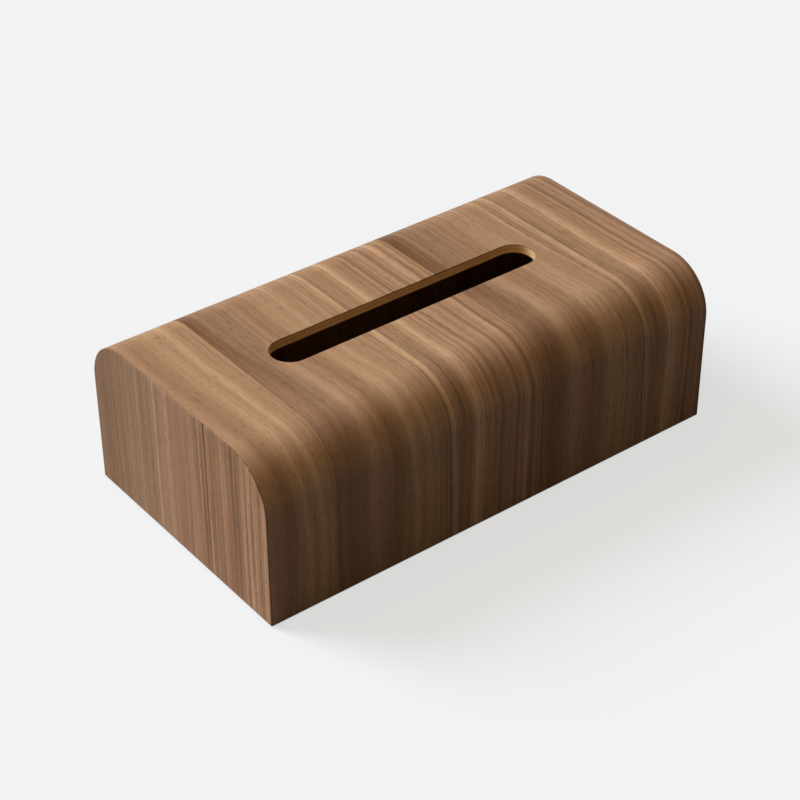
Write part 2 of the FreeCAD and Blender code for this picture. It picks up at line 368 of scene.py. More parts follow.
@dataclass(frozen=True, kw_only=True)
class WalnutVeneer(Finish):
    """Sliced walnut under matt oil: soft bands along the leaf, fine streaks and short open pores.

    Towards one side a leaf is cut closer to the radius of the log. There, past plain_mm and up to lined_mm
    across the leaf, its lines grow straighter and its streaks stand out more.
    """

    bands: tuple[Band, ...]
    lines: tuple[GrowthLine, ...]
    leaf_mm: float
    plain_mm: float
    lined_mm: float
    wander: tuple[Streak, ...]
    streaks: tuple[Streak, ...]
    heart: HeartZone | None = None
    leaf_change: float = 0.22
    lined_wander: float = 0.5
    plain_contrast: float = 0.5
    streak_detail: float = 2.0
    streak_ragged: float = 0.55
    clusters: Streak = Streak(11.0, 140.0, 0.6)
    cluster_span: Pair = (0.35, 0.65)
    fading: Streak = Streak(6.0, 50.0)
    fading_span: Pair = (0.3, 0.7)
    fading_share: Pair = (0.7, 1.5)
    # How dark the painted shade on an end veneer's rounded rim and cut edge is.
    rim_shade_depth: float = 0.38
    pores: Streak = Streak(0.35, 4.8, 0.48)
    pore_tint: str = "#B49A88"
    pore_depth: float = 0.8
    relief: float = 0.22
    relief_mm: float = 0.06
    dull_span: Pair = (0.7, 1.3)
    dull_swing: float = 0.08

    def paint(self, tree: bpy.types.NodeTree, shader: bpy.types.Node) -> None:
        """Lays bands, streaks, growth lines and pores along the piece's own grain map.

        Args:
            tree: the material's node tree.
            shader: its surface shader.
        """
        # Leaves sliced one after another from one log differ a little, so each has its own layer of noise.
        number = add_node(tree, "ShaderNodeAttribute", attribute_name=LEAF_NUMBER).outputs["Fac"]
        layer = add_node(
            tree, "ShaderNodeMath", {1: self.leaf_change}, {0: number}, operation="MULTIPLY"
        ).outputs[0]
        place = self.place_in_figure(tree, layer)
        tone = self.banded_tone(tree, place)
        level = self.grain_level(tree, place, layer)
        grained = add_node(tree, "ShaderNodeVectorMath", links={0: tone, "Scale": level}, operation="SCALE")
        # Real pores are 0.1 to 0.2 mm wide, too fine to show here, so they are drawn about twice that.
        pore = add_node(
            tree,
            "ShaderNodeMapRange",
            {"From Min": PORE_FROM, "From Max": PORE_TO},
            {"Value": self.pores.noise(tree, place, layer, detail=0.0)},
            interpolation_type="SMOOTHSTEP",
        ).outputs[0]
        shown = add_node(tree, "ShaderNodeMath", {1: self.pores.strength}, {0: pore}, operation="MULTIPLY")
        coloured = add_node(
            tree,
            "ShaderNodeMix",
            {7: linear(self.pore_tint)},
            {0: shown.outputs[0], 6: grained.outputs[0]},
            data_type="RGBA",
            blend_type="MULTIPLY",
        )
        height = add_node(
            tree, "ShaderNodeMath", {1: -self.pore_depth}, {0: pore, 2: level}, operation="MULTIPLY_ADD"
        )
        bump = add_node(
            tree,
            "ShaderNodeBump",
            {"Strength": self.relief, "Distance": self.relief_mm * MM},
            {"Height": height.outputs[0]},
        )
        dull = add_node(
            tree,
            "ShaderNodeMapRange",
            {
                "From Min": self.dull_span[0],
                "From Max": self.dull_span[1],
                "To Min": self.roughness + self.dull_swing,
                "To Max": self.roughness - self.dull_swing,
            },
            {"Value": level},
        )
        tree.links.new(coloured.outputs[2], shader.inputs["Base Color"])
        tree.links.new(dull.outputs[0], shader.inputs["Roughness"])
        tree.links.new(bump.outputs[0], shader.inputs["Normal"])

    def towards_lined_side(
        self, tree: bpy.types.NodeTree, across: bpy.types.NodeSocket, plain: float, lined: float
    ) -> bpy.types.NodeSocket:
        """Changes a value from the plain side of a leaf to the lined side.

        Args:
            tree: the material's node tree.
            across: the place across the leaf, in millimetres.
            plain: the value on the plain side.
            lined: the value on the lined side.

        Returns:
            The value at the place.
        """
        return add_node(
            tree,
            "ShaderNodeMapRange",
            {"From Min": self.plain_mm, "From Max": self.lined_mm, "To Min": plain, "To Max": lined},
            {"Value": across},
            interpolation_type="SMOOTHSTEP",
        ).outputs[0]

    def place_in_figure(
        self, tree: bpy.types.NodeTree, layer: bpy.types.NodeSocket
    ) -> bpy.types.NodeSocket:
        """Finds the place in the leaf's figure, which doesn't run quite straight.

        Args:
            tree: the material's node tree.
            layer: the leaf's own layer of noise.

        Returns:
            The place across and along the figure, in millimetres.
        """
        grain = add_node(tree, "ShaderNodeUVMap", uv_map=GRAIN_MAP)
        place = add_node(
            tree,
            "ShaderNodeVectorMath",
            {1: (PER_MM, PER_MM, 0.0)},
            {0: grain.outputs["UV"]},
            operation="MULTIPLY",
        ).outputs[0]
        apart = add_node(tree, "ShaderNodeSeparateXYZ", links={0: place}).outputs
        across, along = apart["X"], apart["Y"]
        loose = self.towards_lined_side(tree, across, 1.0, self.lined_wander)
        # The figure wanders slowly along the leaf, wavers more closely, and feathers into single fibres.
        for wander in self.wander:
            noise = wander.noise(tree, place, layer)
            centred = add_node(tree, "ShaderNodeMath", {1: 0.5}, {0: noise}, operation="SUBTRACT")
            swing = add_node(
                tree, "ShaderNodeMath", links={0: centred.outputs[0], 1: loose}, operation="MULTIPLY"
            )
            across = add_node(
                tree,
                "ShaderNodeMath",
                {1: wander.strength},
                {0: swing.outputs[0], 2: across},
                operation="MULTIPLY_ADD",
            ).outputs[0]
            place = add_node(tree, "ShaderNodeCombineXYZ", links={0: across, 1: along}).outputs[0]
        return place

    def banded_tone(self, tree: bpy.types.NodeTree, place: bpy.types.NodeSocket) -> bpy.types.NodeSocket:
        """Colours the bands of the figure, and the wood near the heart where the leaf has some.

        Args:
            tree: the material's node tree.
            place: the place across and along the figure, in millimetres.

        Returns:
            The colour.
        """
        apart = add_node(tree, "ShaderNodeSeparateXYZ", links={0: place}).outputs
        across, along = apart["X"], apart["Y"]
        share = add_node(tree, "ShaderNodeMath", {1: self.leaf_mm}, {0: across}, operation="DIVIDE")
        stops = [(band.at_mm / self.leaf_mm, linear(band.tone.value)) for band in self.bands]
        tone = add_node(tree, "ShaderNodeValToRGB", links={0: share.outputs[0]}, stops=stops).outputs["Color"]
        if self.heart:
            tone = self.heart.grey(tree, tone, across, along)
            tone = self.heart.darken(tree, tone, across, along)
        return tone

    def grain_level(
        self, tree: bpy.types.NodeTree, place: bpy.types.NodeSocket, layer: bpy.types.NodeSocket
    ) -> bpy.types.NodeSocket:
        """Works out how light the grain is, from its streaks, its growth lines, the leaf's base level with
        its painted fall-off of light, and the painted shade on rounded rims.

        Args:
            tree: the material's node tree.
            place: the place across and along the figure, in millimetres.
            layer: the leaf's own layer of noise.

        Returns:
            A factor for the bands' tone, about 1.
        """
        across = add_node(tree, "ShaderNodeSeparateXYZ", links={0: place}).outputs["X"]
        level = None
        middle = -0.5 * sum(streak.strength for streak in self.streaks)
        for streak in self.streaks:
            noise = streak.noise(tree, place, layer, self.streak_detail, self.streak_ragged)
            joined = {0: noise} if level is None else {0: noise, 2: level}
            level = add_node(
                tree, "ShaderNodeMath", {1: streak.strength, 2: middle}, joined, operation="MULTIPLY_ADD"
            ).outputs[0]
        # Streaks stand out more on the lined side, and everywhere they gather and thin out by turns.
        lined = self.towards_lined_side(tree, across, self.plain_contrast, 1.0)
        gathered = add_node(
            tree,
            "ShaderNodeMapRange",
            {
                "From Min": self.cluster_span[0],
                "From Max": self.cluster_span[1],
                "To Min": 1.0 - self.clusters.strength,
                "To Max": 1.0 + self.clusters.strength,
            },
            {"Value": self.clusters.noise(tree, place, layer)},
        )
        stand_out = add_node(
            tree, "ShaderNodeMath", links={0: lined, 1: gathered.outputs[0]}, operation="MULTIPLY"
        )
        # Each leaf's base level, which on the arch carries the painted fall-off of light from the left.
        leaf_tone_and_light_falloff = add_node(tree, "ShaderNodeAttribute", attribute_name=LEAF_TONE_AND_LIGHT_FALLOFF).outputs["Fac"]
        level = add_node(
            tree,
            "ShaderNodeMath",
            links={0: level, 1: stand_out.outputs[0], 2: leaf_tone_and_light_falloff},
            operation="MULTIPLY_ADD",
        ).outputs[0]
        level = self.with_growth_lines(tree, level, across, place)
        # An end veneer's rounded rim and cut edge are drawn darker: painted shade, as on an edge that turns
        # away from the light.
        cut = add_node(tree, "ShaderNodeAttribute", attribute_name=PAINTED_RIM_SHADE).outputs["Fac"]
        rim_shaded = add_node(
            tree, "ShaderNodeMath", {1: -self.rim_shade_depth, 2: 1.0}, {0: cut}, operation="MULTIPLY_ADD"
        )
        return add_node(
            tree, "ShaderNodeMath", links={0: level, 1: rim_shaded.outputs[0]}, operation="MULTIPLY"
        ).outputs[0]

    def with_growth_lines(
        self,
        tree: bpy.types.NodeTree,
        level: bpy.types.NodeSocket,
        across: bpy.types.NodeSocket,
        place: bpy.types.NodeSocket,
    ) -> bpy.types.NodeSocket:
        """Draws the single growth lines that stand out from the bands.

        Args:
            tree: the material's node tree.
            level: the brightness of the grain so far.
            across: the place across the figure, in millimetres.
            place: the place across and along the figure.

        Returns:
            The brightness with the lines in it.
        """
        # Each line grows fainter and stronger along the leaf.
        fading = add_node(
            tree,
            "ShaderNodeMapRange",
            {
                "From Min": self.fading_span[0],
                "From Max": self.fading_span[1],
                "To Min": self.fading_share[0],
                "To Max": self.fading_share[1],
            },
            {"Value": self.fading.noise(tree, place)},
        )
        for first in range(0, len(self.lines), LINES_PER_RAMP):
            group = self.lines[first:first + LINES_PER_RAMP]
            low, high = group[0].at_mm - RAMP_MARGIN_MM, group[-1].at_mm + RAMP_MARGIN_MM
            spread = add_node(
                tree, "ShaderNodeMapRange", {"From Min": low, "From Max": high}, {"Value": across}
            )
            stops = []
            for line in group:
                for offset, lift in ((-line.half_mm, 0.0), (0.0, line.lift), (line.half_mm, 0.0)):
                    grey = 0.5 + lift
                    stops.append(((line.at_mm + offset - low) / (high - low), (grey, grey, grey, 1.0)))
            drawn = add_node(tree, "ShaderNodeValToRGB", links={0: spread.outputs[0]}, stops=stops)
            centred = add_node(
                tree, "ShaderNodeMath", {1: 0.5}, {0: drawn.outputs["Color"]}, operation="SUBTRACT"
            )
            level = add_node(
                tree,
                "ShaderNodeMath",
                links={0: centred.outputs[0], 1: fading.outputs[0], 2: level},
                operation="MULTIPLY_ADD",
            ).outputs[0]
        return level


@dataclass(frozen=True, kw_only=True)
class SawnWood(Finish):
    """Plain wood cut or peeled along the fibre: soft rings, fine fibre, open pores and a dry, matt face."""

    early: str
    late: str
    along: Fibre
    ring_mm: float
    fibre_mm: float
    pore_mm: float = 0.35
    stretch: float = 28.0
    fibre_share: float = 0.45
    pore_share: float = 0.3
    tone_span: Pair = (0.45, 0.95)
    relief: float = 0.3
    relief_mm: float = 0.08
    dull_swing: float = 0.1

    def paint(self, tree: bpy.types.NodeTree, shader: bpy.types.Node) -> None:
        """Stretches ring and fibre noise along the grain, in the solid's own coordinates.

        Args:
            tree: the material's node tree.
            shader: its surface shader.
        """
        object_place = add_node(tree, "ShaderNodeTexCoord").outputs["Object"]
        squeeze = [PER_MM, PER_MM, PER_MM]
        for axis in self.along.value:
            squeeze[axis] = PER_MM / self.stretch
        place = add_node(
            tree, "ShaderNodeVectorMath", {1: tuple(squeeze)}, {0: object_place}, operation="MULTIPLY"
        ).outputs[0]
        rings = add_node(
            tree,
            "ShaderNodeTexNoise",
            {"Scale": 1 / self.ring_mm, "Detail": 3.0, "Roughness": 0.6, "Distortion": 0.4},
            {"Vector": place},
        )
        # Real fibres and pores are under 0.1 mm wide, too fine to show here, so both are drawn coarser.
        fibre = add_node(
            tree, "ShaderNodeTexNoise", {"Scale": 1 / self.fibre_mm, "Detail": 1.0}, {"Vector": place}
        )
        streaked = add_node(
            tree,
            "ShaderNodeMath",
            {1: self.fibre_share},
            {0: fibre.outputs[0], 2: rings.outputs[0]},
            operation="MULTIPLY_ADD",
        )
        speckle = add_node(
            tree, "ShaderNodeTexNoise", {"Scale": 1 / self.pore_mm, "Detail": 0.0}, {"Vector": place}
        )
        pore = add_node(
            tree,
            "ShaderNodeMapRange",
            {"From Min": PORE_FROM, "From Max": PORE_TO, "To Max": self.pore_share},
            {"Value": speckle.outputs[0]},
            interpolation_type="SMOOTHSTEP",
        )
        mixed = add_node(
            tree, "ShaderNodeMath", links={0: streaked.outputs[0], 1: pore.outputs[0]}, operation="ADD"
        )
        stops = list(zip(self.tone_span, (linear(self.early), linear(self.late))))
        tone = add_node(tree, "ShaderNodeValToRGB", links={0: mixed.outputs[0]}, stops=stops)
        bump = add_node(
            tree,
            "ShaderNodeBump",
            {"Strength": self.relief, "Distance": self.relief_mm * MM},
            {"Height": mixed.outputs[0]},
        )
        dull = add_node(
            tree,
            "ShaderNodeMapRange",
            {"To Min": self.roughness - self.dull_swing, "To Max": self.roughness + self.dull_swing},
            {"Value": fibre.outputs[0]},
        )
        tree.links.new(tone.outputs["Color"], shader.inputs["Base Color"])
        tree.links.new(dull.outputs[0], shader.inputs["Roughness"])
        tree.links.new(bump.outputs[0], shader.inputs["Normal"])


@dataclass(frozen=True, kw_only=True)
class LayeredBoard(Finish):
    """Birch plywood: pale face grain, and an edge that shows the plies as light and dark lines."""

    early: str
    late: str
    end_grain: str
    ply_mm: float
    bottom_mm: float
    log_mm: Pair = (150.0, 34.0)
    fibre_mm: Pair = (14.0, 0.6)
    fleck_mm: Pair = (2.6, 0.4)
    ring_step: float = 0.085
    ring_share: float = 0.42
    fibre_share: float = 0.55
    fleck_share: float = 0.35
    fleck_span: Pair = (0.62, 0.78)
    tone_span: Pair = (0.1, 0.96)
    relief: float = 0.3
    relief_mm: float = 0.08

    def paint(self, tree: bpy.types.NodeTree, shader: bpy.types.Node) -> None:
        """Draws long face grain on the flat sides and alternate plies on the edges.

        Args:
            tree: the material's node tree.
            shader: its surface shader.
        """
        coords = add_node(tree, "ShaderNodeTexCoord")
        noises = []
        # Real birch fibres and flecks are finer than this, too fine to show, so they are drawn coarser.
        for (length, width), detail in ((self.log_mm, 1.5), (self.fibre_mm, 1.0), (self.fleck_mm, 0.0)):
            squeezed = add_node(
                tree,
                "ShaderNodeVectorMath",
                {1: (PER_MM / length, PER_MM / width, PER_MM / width)},
                {0: coords.outputs["Object"]},
                operation="MULTIPLY",
            )
            noise = add_node(
                tree, "ShaderNodeTexNoise", {"Scale": 1.0, "Detail": detail}, {"Vector": squeezed.outputs[0]}
            )
            noises.append(noise.outputs[0])
        height_in_log, fibre, speckle = noises
        # The veneer is peeled round the log, so the rings show as wide loops, like lines of height on a map.
        loops = add_node(
            tree, "ShaderNodeMath", {1: self.ring_step}, {0: height_in_log}, operation="PINGPONG"
        )
        rings = add_node(
            tree,
            "ShaderNodeMapRange",
            {"From Max": self.ring_step, "To Max": self.ring_share},
            {"Value": loops.outputs[0]},
            interpolation_type="SMOOTHSTEP",
        )
        fleck = add_node(
            tree,
            "ShaderNodeMapRange",
            {"From Min": self.fleck_span[0], "From Max": self.fleck_span[1], "To Max": self.fleck_share},
            {"Value": speckle},
            interpolation_type="SMOOTHSTEP",
        )
        streaked = add_node(
            tree,
            "ShaderNodeMath",
            {1: self.fibre_share},
            {0: fibre, 2: rings.outputs[0]},
            operation="MULTIPLY_ADD",
        )
        mixed = add_node(
            tree, "ShaderNodeMath", links={0: streaked.outputs[0], 1: fleck.outputs[0]}, operation="ADD"
        )
        stops = list(zip(self.tone_span, (linear(self.early), linear(self.late))))
        face = add_node(tree, "ShaderNodeValToRGB", links={0: mixed.outputs[0]}, stops=stops)
        on_cross = self.on_cross_ply(tree, coords)
        toned = add_node(
            tree,
            "ShaderNodeMix",
            {7: linear(self.end_grain)},
            {0: on_cross, 6: face.outputs["Color"]},
            data_type="RGBA",
        )
        bump = add_node(
            tree,
            "ShaderNodeBump",
            {"Strength": self.relief, "Distance": self.relief_mm * MM},
            {"Height": mixed.outputs[0]},
        )
        tree.links.new(toned.outputs[2], shader.inputs["Base Color"])
        tree.links.new(bump.outputs[0], shader.inputs["Normal"])

    def on_cross_ply(self, tree: bpy.types.NodeTree, coords: bpy.types.Node) -> bpy.types.NodeSocket:
        """Finds the plies that show end grain at the board's edges.

        Args:
            tree: the material's node tree.
            coords: the node that gives the solid's own coordinates.

        Returns:
            A socket that is 1 on every second ply of an upright edge.
        """
        height = add_node(tree, "ShaderNodeSeparateXYZ", links={0: coords.outputs["Object"]}).outputs["Z"]
        from_bottom = add_node(
            tree, "ShaderNodeMath", {1: self.bottom_mm * MM}, {0: height}, operation="SUBTRACT"
        )
        ply = add_node(
            tree,
            "ShaderNodeMath",
            {1: 2 * self.ply_mm * MM},
            {0: from_bottom.outputs[0]},
            operation="FLOORED_MODULO",
        )
        is_cross = add_node(
            tree, "ShaderNodeMath", {1: self.ply_mm * MM}, {0: ply.outputs[0]}, operation="GREATER_THAN"
        )
        normal = add_node(tree, "ShaderNodeSeparateXYZ", links={0: coords.outputs["Normal"]}).outputs["Z"]
        upright = add_node(tree, "ShaderNodeMath", links={0: normal}, operation="ABSOLUTE")
        is_edge = add_node(
            tree, "ShaderNodeMath", {1: 0.5}, {0: upright.outputs[0]}, operation="LESS_THAN"
        )
        return add_node(
            tree,
            "ShaderNodeMath",
            links={0: is_cross.outputs[0], 1: is_edge.outputs[0]},
            operation="MULTIPLY",
        ).outputs[0]


@dataclass(frozen=True, kw_only=True)
class PlatedMetal(Finish):
    """Small plated metal disc: a bright coat with faint handling marks and uneven gloss."""

    colour: str
    worn: str
    mark_mm: float
    mark_length_mm: float = 6.0
    cloud_mm: float = 1.8
    tone_span: Pair = (0.35, 0.65)
    brighter: float = 0.12
    duller: float = 0.15
    relief: float = 0.12
    relief_mm: float = 0.02

    def paint(self, tree: bpy.types.NodeTree, shader: bpy.types.Node) -> None:
        """Clouds the plating's colour and gloss, and scratches it lightly.

        Args:
            tree: the material's node tree.
            shader: its surface shader.
        """
        shader.inputs["Metallic"].default_value = 1.0
        place = add_node(tree, "ShaderNodeTexCoord").outputs["Object"]
        cloud = add_node(
            tree, "ShaderNodeTexNoise", {"Scale": PER_MM / self.cloud_mm, "Detail": 3.0}, {"Vector": place}
        )
        # Handling marks are a few hundredths of a millimetre wide, too fine to show, so they are drawn wider.
        drawn = add_node(
            tree,
            "ShaderNodeVectorMath",
            {1: (PER_MM / self.mark_mm, PER_MM / self.mark_length_mm, PER_MM / self.mark_mm)},
            {0: place},
            operation="MULTIPLY",
        )
        marks = add_node(
            tree, "ShaderNodeTexNoise", {"Scale": 1.0, "Detail": 2.0}, {"Vector": drawn.outputs[0]}
        )
        stops = list(zip(self.tone_span, (linear(self.worn), linear(self.colour))))
        tone = add_node(tree, "ShaderNodeValToRGB", links={0: cloud.outputs[0]}, stops=stops)
        gloss = add_node(
            tree,
            "ShaderNodeMapRange",
            {"To Min": self.roughness - self.brighter, "To Max": self.roughness + self.duller},
            {"Value": marks.outputs[0]},
        )
        bump = add_node(
            tree,
            "ShaderNodeBump",
            {"Strength": self.relief, "Distance": self.relief_mm * MM},
            {"Height": marks.outputs[0]},
        )
        tree.links.new(tone.outputs["Color"], shader.inputs["Base Color"])
        tree.links.new(gloss.outputs[0], shader.inputs["Roughness"])
        tree.links.new(bump.outputs[0], shader.inputs["Normal"])


@dataclass(frozen=True, kw_only=True)
class PressedFelt(Finish):
    """Pressed wool felt: a dark, matted fibre with a soft bloom at its edges."""

    colour: str
    lint: str
    bloom: float = 0.35
    mat_mm: float = 0.35
    tone_span: Pair = (0.3, 0.8)
    relief: float = 0.7
    relief_mm: float = 0.2

    def paint(self, tree: bpy.types.NodeTree, shader: bpy.types.Node) -> None:
        """Mats fine fibre noise into colour and relief.

        Args:
            tree: the material's node tree.
            shader: its surface shader.
        """
        shader.inputs["Sheen Weight"].default_value = self.bloom
        place = add_node(tree, "ShaderNodeTexCoord").outputs["Object"]
        # Wool is about 0.03 mm thick, too fine to show here, so its matting is drawn ten times coarser.
        fibre = add_node(
            tree,
            "ShaderNodeTexNoise",
            {"Scale": PER_MM / self.mat_mm, "Detail": 3.0, "Roughness": 0.7, "Distortion": 2.5},
            {"Vector": place},
        )
        stops = list(zip(self.tone_span, (linear(self.colour), linear(self.lint))))
        tone = add_node(tree, "ShaderNodeValToRGB", links={0: fibre.outputs[0]}, stops=stops)
        bump = add_node(
            tree,
            "ShaderNodeBump",
            {"Strength": self.relief, "Distance": self.relief_mm * MM},
            {"Height": fibre.outputs[0]},
        )
        tree.links.new(tone.outputs["Color"], shader.inputs["Base Color"])
        tree.links.new(bump.outputs[0], shader.inputs["Normal"])


TONE = WalnutTone

# One leaf of the arch, from its left splice to its right one.
FACE_BANDS = tuple(
    Band(at, tone)
    for at, tone in (
        (0.0, TONE.ROSE),
        (5.0, TONE.BLUSH),
        (12.0, TONE.ROSE),
        (18.0, TONE.BLUSH),
        (24.0, TONE.ROSE),
        (28.0, TONE.DUSK),
        (33.0, TONE.DUSK),
        (36.5, TONE.MID),
        (41.0, TONE.TAN),
        (45.0, TONE.ROSE),
        (48.5, TONE.PALE),
        (52.5, TONE.MID),
        (56.5, TONE.MID),
        (61.0, TONE.BLUSH),
        (63.0, TONE.MID),
        (66.5, TONE.PALE),
        (68.3, TONE.ROSE),
        (72.0, TONE.MID),
        (75.0, TONE.DUSK),
        (76.8, TONE.BLUSH),
        (79.5, TONE.PALE),
        (83.0, TONE.ROSE),
        (87.0, TONE.DUSK),
        (90.0, TONE.MID),
        (93.5, TONE.SHADE),
        (98.0, TONE.ROSE),
        (100.5, TONE.ROSE),
        (102.5, TONE.SHADE),
        (108.5, TONE.ROSE),
        (111.0, TONE.DUSK),
        (114.0, TONE.MID),
        (118.0, TONE.DUSK),
    )
)

FACE_LINES = tuple(
    GrowthLine(at, half, lift)
    for at, half, lift in (
        (4.6, 2.0, 0.15),
        (31.0, 0.7, -0.10),
        (35.2, 1.2, -0.10),
        (50.5, 0.9, -0.10),
        (60.5, 0.9, -0.15),
        (64.0, 0.8, 0.15),
        (66.0, 0.7, 0.25),
        (68.3, 1.0, -0.20),
        (71.5, 0.8, -0.10),
        (74.5, 0.9, -0.15),
        (80.4, 1.1, 0.20),
        (86.5, 0.9, -0.10),
        (89.8, 0.6, -0.20),
        (91.3, 0.6, 0.10),
        (93.8, 0.9, -0.10),
        (98.0, 0.7, -0.15),
        (100.8, 0.8, 0.10),
        (103.0, 0.9, -0.20),
        (104.8, 0.7, 0.15),
        (109.2, 0.9, 0.35),
        (111.5, 1.1, -0.40),
        (114.4, 0.8, 0.10),
        (116.0, 0.7, -0.10),
    )
)

# The end veneer, from the front edge of the holder to the back edge.
END_BANDS = tuple(
    Band(at, tone)
    for at, tone in (
        (0.0, TONE.COPPER),
        (2.5, TONE.COPPER),
        (4.5, TONE.CLAY),
        (7.0, TONE.RUSSET),
        (11.0, TONE.COPPER),
        (14.0, TONE.COPPER),
        (16.0, TONE.RUSSET),
        (22.0, TONE.CLAY),
        (30.0, TONE.CLAY),
        (36.0, TONE.CLAY),
        (44.0, TONE.RUSSET),
        (50.0, TONE.RUSSET),
        (60.0, TONE.RUSSET),
        (72.0, TONE.RUSSET),
        (78.0, TONE.COPPER),
        (86.0, TONE.ROSE),
        (90.0, TONE.ROSE),
        (96.0, TONE.MID),
        (102.0, TONE.ROSE),
        (110.0, TONE.MID),
        (122.0, TONE.DUSK),
        (132.0, TONE.SHADE),
        (140.0, TONE.DUSK),
    )
)

END_LINES = tuple(
    GrowthLine(at, half, lift)
    for at, half, lift in (
        (5.0, 0.8, -0.20),
        (8.5, 0.6, -0.10),
        (15.0, 0.8, -0.15),
        (18.5, 0.6, 0.10),
        (22.0, 0.7, -0.20),
        (25.5, 0.6, -0.15),
        (28.5, 0.6, 0.10),
        (33.0, 0.7, 0.25),
        (35.0, 0.7, -0.20),
        (38.7, 0.8, -0.25),
        (43.7, 0.7, 0.20),
        (46.3, 0.9, -0.75),
        (58.5, 0.8, 0.10),
        (66.0, 0.9, -0.10),
        (74.5, 0.8, -0.20),
        (77.5, 1.0, 0.25),
        (83.0, 0.8, -0.10),
        (87.5, 1.1, 0.45),
        (92.0, 0.9, -0.15),
        (98.0, 0.9, -0.10),
        (102.5, 0.8, 0.20),
        (107.5, 0.8, -0.20),
        (116.0, 0.9, -0.10),
        (124.0, 0.8, -0.10),
        (131.0, 0.8, -0.10),
    )
)

# Sliced, oiled walnut: soft brown bands under fine streaks and short dark pores, with hardly any shine.
FACE_WALNUT = WalnutVeneer(
    name="walnut_leaf_sliced_and_oiled",
    slot="walnut_face",
    roughness=0.52,
    specular=0.03,
    bands=FACE_BANDS,
    lines=FACE_LINES,
    leaf_mm=118.0,
    plain_mm=54.0,
    lined_mm=66.0,
    wander=(
        Streak(80.0, 130.0, 13.0),
        Streak(22.0, 45.0, 3.6),
        Streak(7.0, 24.0, 1.6),
        Streak(1.6, 60.0, 2.0),
    ),
    streaks=(
        Streak(3.2, 350.0, 0.85),
        Streak(1.7, 220.0, 1.20),
        Streak(0.8, 90.0, 0.50),
        Streak(0.5, 20.0, 0.40),
        Streak(3.5, 9.0, 0.24),
    ),
    heart=HeartZone(),
)
# The same walnut cut near the radius of the log: redder, with straight, close streaks up the end.
END_WALNUT = WalnutVeneer(
    name="walnut_end_leaf_sliced_and_oiled",
    slot="walnut_end",
    roughness=0.52,
    specular=0.03,
    bands=END_BANDS,
    lines=END_LINES,
    leaf_mm=140.0,
    plain_mm=60.0,
    lined_mm=48.0,
    wander=(
        Streak(80.0, 130.0, 2.0),
        Streak(22.0, 45.0, 1.8),
        Streak(7.0, 24.0, 0.8),
        Streak(1.6, 60.0, 1.0),
    ),
    streaks=(
        Streak(3.2, 200.0, 0.85),
        Streak(1.7, 150.0, 1.05),
        Streak(0.8, 90.0, 0.62),
        Streak(0.5, 40.0, 0.40),
        Streak(4.5, 11.0, 0.16),
    ),
)
# Peeled poplar, left raw: a pale, dry yellow where the slot and the lower edge cut through it.
CROSS_PLY = SawnWood(
    name="poplar_ply_peeled_along",
    slot="cross_ply",
    roughness=0.62,
    specular=0.25,
    early="#F6CB90",
    late="#E7B475",
    along=Fibre.LENGTH,
    ring_mm=3.0,
    fibre_mm=0.5,
)
# The same poplar turned round the arch: a little darker, so that the plies show as layers.
CENTRE_PLY = SawnWood(
    name="poplar_ply_peeled_across",
    slot="centre_ply",
    roughness=0.66,
    specular=0.25,
    early="#F1C488",
    late="#DEA86A",
    along=Fibre.ROUND_THE_ARCH,
    ring_mm=2.0,
    fibre_mm=0.4,
)
# Thin veneer under a walnut stain: a quiet dark brown, with its grain half hidden.
STAINED_LINING = SawnWood(
    name="walnut_stained_lining_veneer",
    slot="lining_veneer",
    roughness=0.6,
    specular=0.2,
    early="#8D6C52",
    late="#6C503B",
    along=Fibre.ROUND_THE_ARCH,
    ring_mm=5.0,
    fibre_mm=0.8,
)
# Flat board under the same stain: dark brown, with broad, soft rings up it.
STAINED_BOARD = SawnWood(
    name="walnut_stained_end_board",
    slot="end_board",
    roughness=0.62,
    specular=0.2,
    early="#8A6A50",
    late="#6B4F3A",
    along=Fibre.HEIGHT,
    ring_mm=6.0,
    fibre_mm=0.8,
)
# Planed pine under the same stain: dark brown, with closer rings.
STAINED_BLOCK = SawnWood(
    name="walnut_stained_pine_block",
    slot="glue_block",
    roughness=0.62,
    specular=0.2,
    early="#8F6E52",
    late="#6E523C",
    along=Fibre.HEIGHT,
    ring_mm=3.5,
    fibre_mm=0.7,
)
# Sanded birch plywood: a pale face with wide loops of grain, and striped edges.
BIRCH_PLY = LayeredBoard(
    name="birch_plywood_sanded",
    slot="base_ply",
    roughness=0.58,
    specular=0.25,
    early="#DFC095",
    late="#B98F5E",
    end_grain="#9A6F43",
    ply_mm=1.0,
    bottom_mm=2.0,
)
# Nickel plate: bright and a little warm, dulled in places by handling.
NICKEL = PlatedMetal(
    name="nickel_plated_magnet",
    slot="magnet_nickel",
    roughness=0.24,
    specular=0.5,
    colour="#C9C4BA",
    worn="#A9A39A",
    mark_mm=0.25,
)
# Zinc plate on steel: cooler and duller than the nickel, with finer marks.
ZINC_STEEL = PlatedMetal(
    name="zinc_plated_steel_disc",
    slot="strike_steel",
    roughness=0.38,
    specular=0.5,
    colour="#B9BBBD",
    worn="#8F9296",
    mark_mm=0.18,
)
# Pressed wool: dark brown and quite without shine, with paler lint and a soft bloom at its edges.
FELT = PressedFelt(
    name="wool_felt_pressed",
    slot="felt",
    roughness=0.95,
    specular=0.1,
    colour="#33261D",
    lint="#5C4839",
)


def show_piece(
    name: str, mesh: bpy.types.Mesh, finish: Finish, body: str, nodes: Sequence[str]
) -> None:
    """Puts a finished mesh in the scene in place of some solids.

    Args:
        name: the piece's name.
        mesh: its finished mesh, in place.
        finish: its surface.
        body: the body that it moves with.
        nodes: the solids that it stands for.
    """
    mesh.name = name
    mesh.materials.clear()
    mesh.materials.append(finish.material())
    piece = bpy.data.objects.new(name, mesh)
    bpy.context.scene.collection.objects.link(piece)
    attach(piece, body)
    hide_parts(*nodes)
    log.info("%s: %d faces, on %s, for %s", name, len(mesh.polygons), body, ", ".join(nodes))


